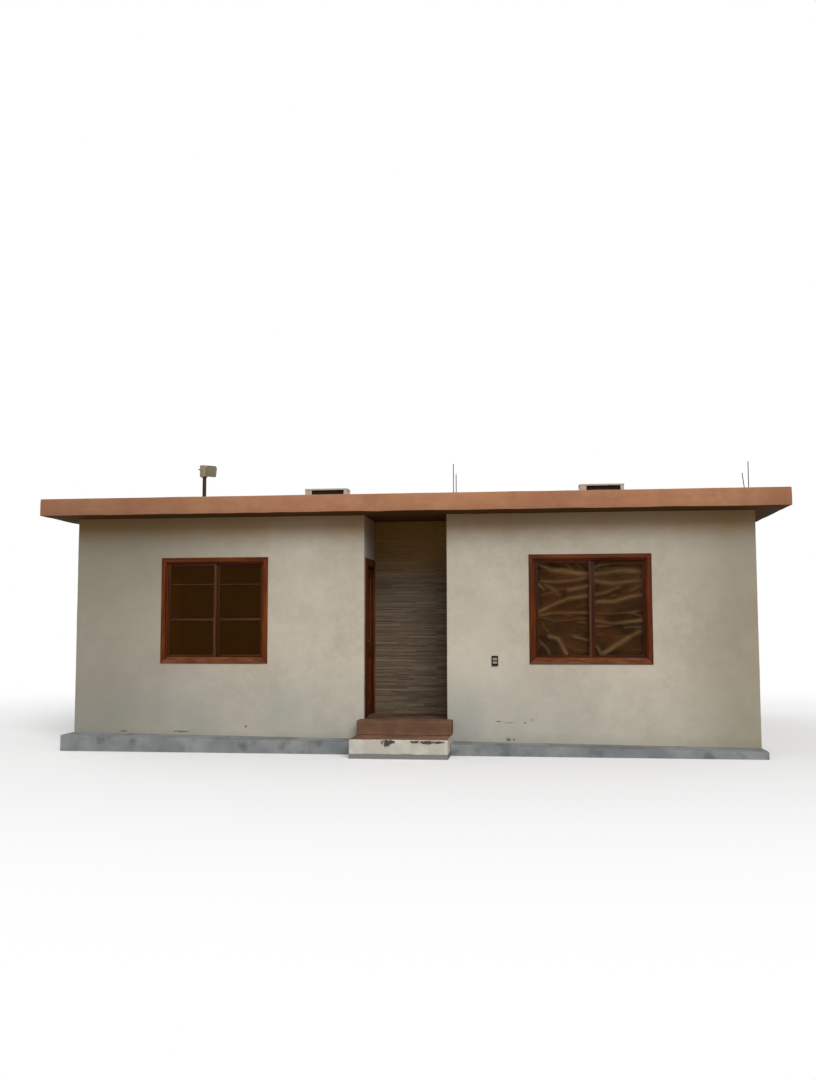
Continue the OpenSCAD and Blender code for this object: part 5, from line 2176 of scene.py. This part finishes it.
@dataclass
class Floodlight:
    """A weathered floodlight beside its control box, on a rusty pole."""

    at: Place = (-3.189, -2.0, 3.303)
    pole_h: float = 0.530
    pole_r: float = 0.028
    pole_cell: float = 0.04
    weld_r: float = 0.0045
    flange_r: float = 0.065
    flange_t: float = 0.008
    flange_ease: float = 0.002
    bolt_ring: float = 0.048
    nut: Pair = (0.007, 0.0085)
    stud: Pair = (0.014, 0.004)
    bolt_ease: float = 0.0008
    gear: tuple[Place, Place] = (
        (-0.057, -0.0475, 0.0), (0.031, 0.0475, 0.172))
    gear_presses: tuple[Pair, ...] = ((0.007, 0.0), (0.0015, 0.0015), (0.003, -0.0012))
    gear_ease: float = 0.0035
    sunk: float = 0.001
    knob_r: float = 0.014
    knob_l: float = 0.038
    knob_tip: float = 0.45
    knob_cell: float = 0.008
    swivel_r: float = 0.034
    swivel_l: float = 0.014
    swivel_ease: float = 0.003
    pivot: Place = (0.007, 0.002, -0.005)
    pivot_r: float = 0.006
    pivot_ease: float = 0.0006
    lamp: Place = (0.142, 0.110, 0.168)
    taper: float = 0.022
    rim: float = 0.012
    lean: float = 7.0
    reflector: tuple[Pair, ...] = ((0.0015, 0.009), (0.030, 0.012))
    body_ease: float = 0.002
    glass_y: Pair = (0.005, 0.0085)
    glass_ease: float = 0.001
    fins: int = 7
    fin_t: float = 0.003
    fin_ease: float = 0.0012
    fin_sunk: float = 0.002
    tube_ends: Pair = (0.3, 0.7)
    tube_y: float = 0.014
    tube_r: float = 0.004

    def build(self) -> None:
        """Builds the pole and the head."""
        self.pole()
        self.head()

    def pole(self) -> None:
        """Builds the pole with its weld, foot plate and four bolts."""
        at = Vector(self.at)
        seat = at + Vector((0, 0, self.flange_t))
        tube = Workpiece.rod("tube", at, at + Vector((0, 0, self.pole_h)), self.pole_r, 32)
        tube.cut_evenly(Axis.Z, self.pole_cell)
        plate = Workpiece.rod("plate", at, seat, self.flange_r, 40)
        plate.round_edges(self.flange_ease, 2, lambda a, b: min(a.z, b.z) > seat.z - TOUCH)
        made = [tube, plate, Workpiece.ring("weld", seat, self.pole_r, self.weld_r, Axis.Z)]
        for k in range(4):
            angle = math.radians(45 + 90 * k)
            foot = seat + Vector((math.cos(angle), math.sin(angle), 0)) * self.bolt_ring
            for name, (height, radius), sides in (("nut", self.nut, 6), ("stud", self.stud, 12)):
                rod = Workpiece.rod(name, foot, foot + Vector((0, 0, height)), radius, sides)
                made.append(rod.round_all(self.bolt_ease))
        for piece in made:
            piece.finish(RUST)
        joined("rusty_pole", made).smooth(35).fit("house", "weathered_steel", "lamp_pole")

    def head(self) -> None:
        """Builds the control box, the knob, the swivel and the lamp."""
        low, high = (Vector(corner) for corner in self.gear)
        middle, axis_z, swivel_end = high.z / 2, high.z * 2 / 3, high.x + self.swivel_l
        gear = Workpiece.block("gear", low, high)
        gear.pick_faces(lambda c, n: n.y < -0.5)
        for press in self.gear_presses:
            gear.press(*press)
        gear.round_all(self.gear_ease, 3)
        knob = Workpiece.rod("knob", (low.x + self.sunk, 0, axis_z), (low.x - self.knob_l, 0, axis_z),
                             self.knob_r, 12, self.knob_r * self.knob_tip)
        knob.cut_evenly(Axis.X, self.knob_cell)
        swivel = Workpiece.rod("swivel", (high.x - self.sunk, 0, middle),
                               (swivel_end + self.taper, 0, middle), self.swivel_r, 32)
        swivel.round_edges(self.swivel_ease, 2, lambda a, b: abs(a.x - b.x) < TOUCH)
        across, *ends = self.pivot
        bolt = Workpiece.rod("bolt", *((high.x + across, end - self.swivel_r, middle) for end in ends),
                             self.pivot_r, 6)
        made = [gear.finish(GEAR_BOX), knob.finish(BLACK_PLASTIC), swivel.finish(LAMP_ENAMEL),
                bolt.round_all(self.pivot_ease).finish(STEEL)]
        hung = (Matrix.Translation((swivel_end, -self.lamp[1] / 2, middle)) @ turned(self.lean, Axis.Y)
                @ Matrix.Translation((0, 0, -self.lamp[2] / 2)))
        made += [part.put(hung) for part in self.housing()]
        top = Vector(self.at) + Vector((0, 0, self.pole_h))
        whole = joined("floodlight", made).put(Matrix.Translation(top))
        whole.smooth(32).fit("house", "lamp_enamel", "lamp_head")

    def housing(self) -> list[Workpiece]:
        """Casts the housing with its rim, reflector, glass and cooling fins.

        Returns:
            The lamp's pieces, with its lowest left front corner at the origin.
        """
        w, d, h = self.lamp
        back = d - self.taper
        inset = self.taper * back / d + self.fin_sunk
        body = Workpiece.block("body", (0, 0, 0), (w, back, h))

        def narrowed(p: Vector) -> Vector:
            """Draws a point in towards the housing's middle, the further back the more.

            Args:
                p: The point.

            Returns:
                Its new place.
            """
            pull = self.taper * p.y / d
            return Vector((p.x + pull * (1 if p.x < w / 2 else -1), p.y,
                           p.z + pull * (1 if p.z < h / 2 else -1)))

        body.reshape(narrowed).pick_faces(lambda c, n: n.y < -0.5)
        for press in ((self.rim, 0.0), *self.reflector):
            body.press(*press)
        body.round_all(self.body_ease, 2, 50)
        front, rear = self.glass_y
        glass = Workpiece.block("glass", (self.rim, front, self.rim), (w - self.rim, rear, h - self.rim))
        made = [body.finish(LAMP_ENAMEL), glass.round_all(self.glass_ease).finish(LAMP_GLASS)]
        for k in range(self.fins):
            x = inset + (w - 2 * inset - self.fin_t) * k / (self.fins - 1)
            fin = Workpiece.block("fin", (x, back - self.fin_sunk, inset), (x + self.fin_t, d, h - inset))
            made.append(fin.round_all(self.fin_ease).finish(LAMP_ENAMEL))
        bulb = Workpiece.rod("tube_lamp", *((w * end, self.tube_y, h / 2) for end in self.tube_ends),
                             self.tube_r, 16)
        made.append(bulb.round_all(self.tube_r / 2, 3).finish(MODULE))
        return made


@dataclass
class BarStubs:
    """Four rusty ends of ribbed column bars above the roof slab."""

    roof: float = 3.303
    core_r: float = 0.0052
    rib: float = 0.0008
    rib_step: float = 0.010
    bars: tuple[Sequence[float], ...] = (
        (0.646, -3.445, 0.430, 0.0), (0.678, -3.400, 0.300, 0.0),
        (4.400, -3.445, 0.390, 0.0), (4.362, -3.400, 0.250, 7.0))

    def ribbed(self, p: Vector) -> Vector:
        """Swells a point of a plain bar where one of its winding ribs passes.

        Args:
            p: The point.

        Returns:
            Its new place.
        """
        phase = p.z / self.rib_step + 0.5 * math.atan2(p.y, p.x) / math.pi
        swell = self.rib * max(0.0, math.cos(2 * math.pi * phase)) / self.core_r
        return Vector((p.x * (1 + swell), p.y * (1 + swell), p.z))

    def build(self) -> None:
        """Rolls each bar with its ribs and stands it at its place."""
        made = []
        for x, y, height, lean in self.bars:
            bar = Workpiece.rod("bar", (0, 0, 0), (0, 0, height), self.core_r, 10)
            bar.cut_evenly(Axis.Z, self.rib_step / 3).reshape(self.ribbed)
            bar.put(Matrix.Translation((x, y, self.roof)) @ turned(-lean, Axis.Y))
            made.append(bar.finish(RUST))
        joined("ribbed_bars", made).smooth(50).fit("house", "rusty_bar", "bar_stubs")


@dataclass
class PlainDress:
    """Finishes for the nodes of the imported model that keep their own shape."""

    finishes: dict[str, Finish] = field(default_factory=lambda: {
        "foundation": CONCRETE, "floor_slab": CONCRETE, "porch_floor": PORCH_CEMENT,
        "porch_back_wall": PLASTER, "left_window_glass": DARK_GLASS, "side_window_glass": DARK_GLASS,
        "back_window_glass": DARK_GLASS, "right_window_glass": CLEAR_GLASS,
        "door_handle": AGED_STEEL, "hinge_pins": AGED_STEEL, "hinge_barrels": AGED_STEEL,
        "condenser_cases": ENAMEL, "condenser_feet": RUBBER,
    })

    def build(self) -> None:
        """Puts each finish on its node."""
        for node, coat in self.finishes.items():
            dress(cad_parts[node], coat)
            LOG.info("%s: dressed in %s", node, coat.name)


@dataclass(frozen=True)
class PhotoCamera:
    """The camera, where the photograph was taken from."""

    place: Place = (1.697, -17.202, 1.599)
    upwards: float = 4.6932
    leftwards: float = 6.8543
    roll: float = -0.1009
    focal_px: float = 1058.38
    frame_px: float = 1080.0
    sensor_mm: float = 36.0
    far: float = 500.0

    def build(self) -> None:
        """Adds the camera and makes it the scene's."""
        deselect()
        bpy.ops.object.camera_add()
        camera = bpy.context.active_object
        camera.name = "photo_camera"
        turn = turned(self.leftwards, Axis.Z) @ turned(90 + self.upwards, Axis.X) @ turned(self.roll, Axis.Z)
        camera.matrix_world = Matrix.Translation(self.place) @ turn
        camera.data.sensor_width = self.sensor_mm
        camera.data.lens = self.focal_px / self.frame_px * self.sensor_mm
        camera.data.clip_end = self.far
        bpy.context.scene.camera = camera


@dataclass(frozen=True)
class Studio:
    """A pale floor that runs out into white, a soft sky and two broad lamps."""

    floor_size: float = 160.0
    floor_seen: float = 0.80
    floor_bounce: float = 0.34
    near: float = 7.0
    far: float = 12.5
    narrow: float = 0.82
    sky: float = 0.62
    key: float = 2.5
    key_way: Place = (-0.30, 0.78, -0.60)
    key_angle: float = 36.0
    fill: float = 0.5
    fill_way: Place = (0.75, -0.45, -0.5)
    fill_angle: float = 70.0

    def build(self) -> None:
        """Adds the floor, the sky and the lamps."""
        self.floor()
        self.world()
        self.lamp("key_lamp", self.key, self.key_way, self.key_angle)
        self.lamp("fill_lamp", self.fill, self.fill_way, self.fill_angle)
        bpy.context.scene.view_settings.view_transform = "Standard"

    @staticmethod
    def seen_rays(tree: bpy.types.NodeTree) -> Socket:
        """Tells rays that are seen from light on surfaces.

        Args:
            tree: The node tree of the floor or the sky.

        Returns:
            1 for rays of the camera, of gloss and through glass, and otherwise 0.
        """
        path = tree.nodes.new("ShaderNodeLightPath")
        total = path.outputs["Is Camera Ray"]
        for name in ("Is Glossy Ray", "Is Transmission Ray"):
            either = tree.nodes.new("ShaderNodeMath")
            either.operation = "MAXIMUM"
            tree.links.new(total, either.inputs[0])
            tree.links.new(path.outputs[name], either.inputs[1])
            total = either.outputs[0]
        return total

    def floor(self) -> None:
        """Lays the floor, which keeps the object's shadow near it and is white far off."""
        plane = Workpiece.added("studio_floor", bpy.ops.mesh.primitive_plane_add, size=self.floor_size).obj
        recipe = Recipe("studio_floor")
        recipe.tree.nodes.remove(recipe.surface)
        place = recipe.stretched((self.narrow, 1.0, 1.0))
        away = recipe.add("VectorMath", place, operation="LENGTH").outputs["Value"]
        pale, dim = (recipe.add("BsdfDiffuse", (grey, grey, grey, 1)).outputs[0]
                     for grey in (self.floor_seen, self.floor_bounce))
        white = recipe.add("Emission").outputs[0]
        seen = recipe.add("MixShader", recipe.level(away, self.near, self.far), pale, white).outputs[0]
        either = recipe.add("MixShader", self.seen_rays(recipe.tree), dim, seen).outputs[0]
        recipe.feed(recipe.tree.nodes["Material Output"].inputs["Surface"], either)
        plane.data.materials.append(recipe.material)

    def world(self) -> None:
        """Sets the sky: even light on surfaces, and white where it is seen."""
        world = bpy.data.worlds.new("studio_sky")
        bpy.context.scene.world = world
        world.use_nodes = True
        tree = world.node_tree
        back = tree.nodes["Background"]
        back.inputs["Color"].default_value = (1, 1, 1, 1)
        strength = tree.nodes.new("ShaderNodeMapRange")
        strength.inputs["To Min"].default_value = self.sky
        strength.inputs["To Max"].default_value = 1.0
        tree.links.new(self.seen_rays(tree), strength.inputs["Value"])
        tree.links.new(strength.outputs["Result"], back.inputs["Strength"])

    @staticmethod
    def lamp(name: str, energy: float, way: Place, angle: float) -> None:
        """Adds a broad distant lamp.

        Args:
            name: Name of the lamp.
            energy: Its strength.
            way: Direction in which its light travels.
            angle: How wide it looks, which softens its shadows.
        """
        deselect()
        bpy.ops.object.light_add(type="SUN")
        lamp = bpy.context.active_object
        lamp.name = name
        lamp.data.energy = energy
        lamp.data.angle = math.radians(angle)
        lamp.matrix_world = Vector(way).to_track_quat("-Z", "Y").to_matrix().to_4x4()


def main() -> None:
    """Builds the house's looks and its studio."""
    logging.basicConfig(level=logging.INFO, format="%(name)s: %(message)s")
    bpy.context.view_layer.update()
    for part in (PhotoCamera(), Studio(), Masonry(), StoneCladding(), *all_windows(), CrumpledSheet(),
                 Doorway(), OutletPlate(), OutdoorUnits(), Floodlight(), BarStubs(), PlainDress()):
        part.build()


if __name__ == "__main__":
    main()
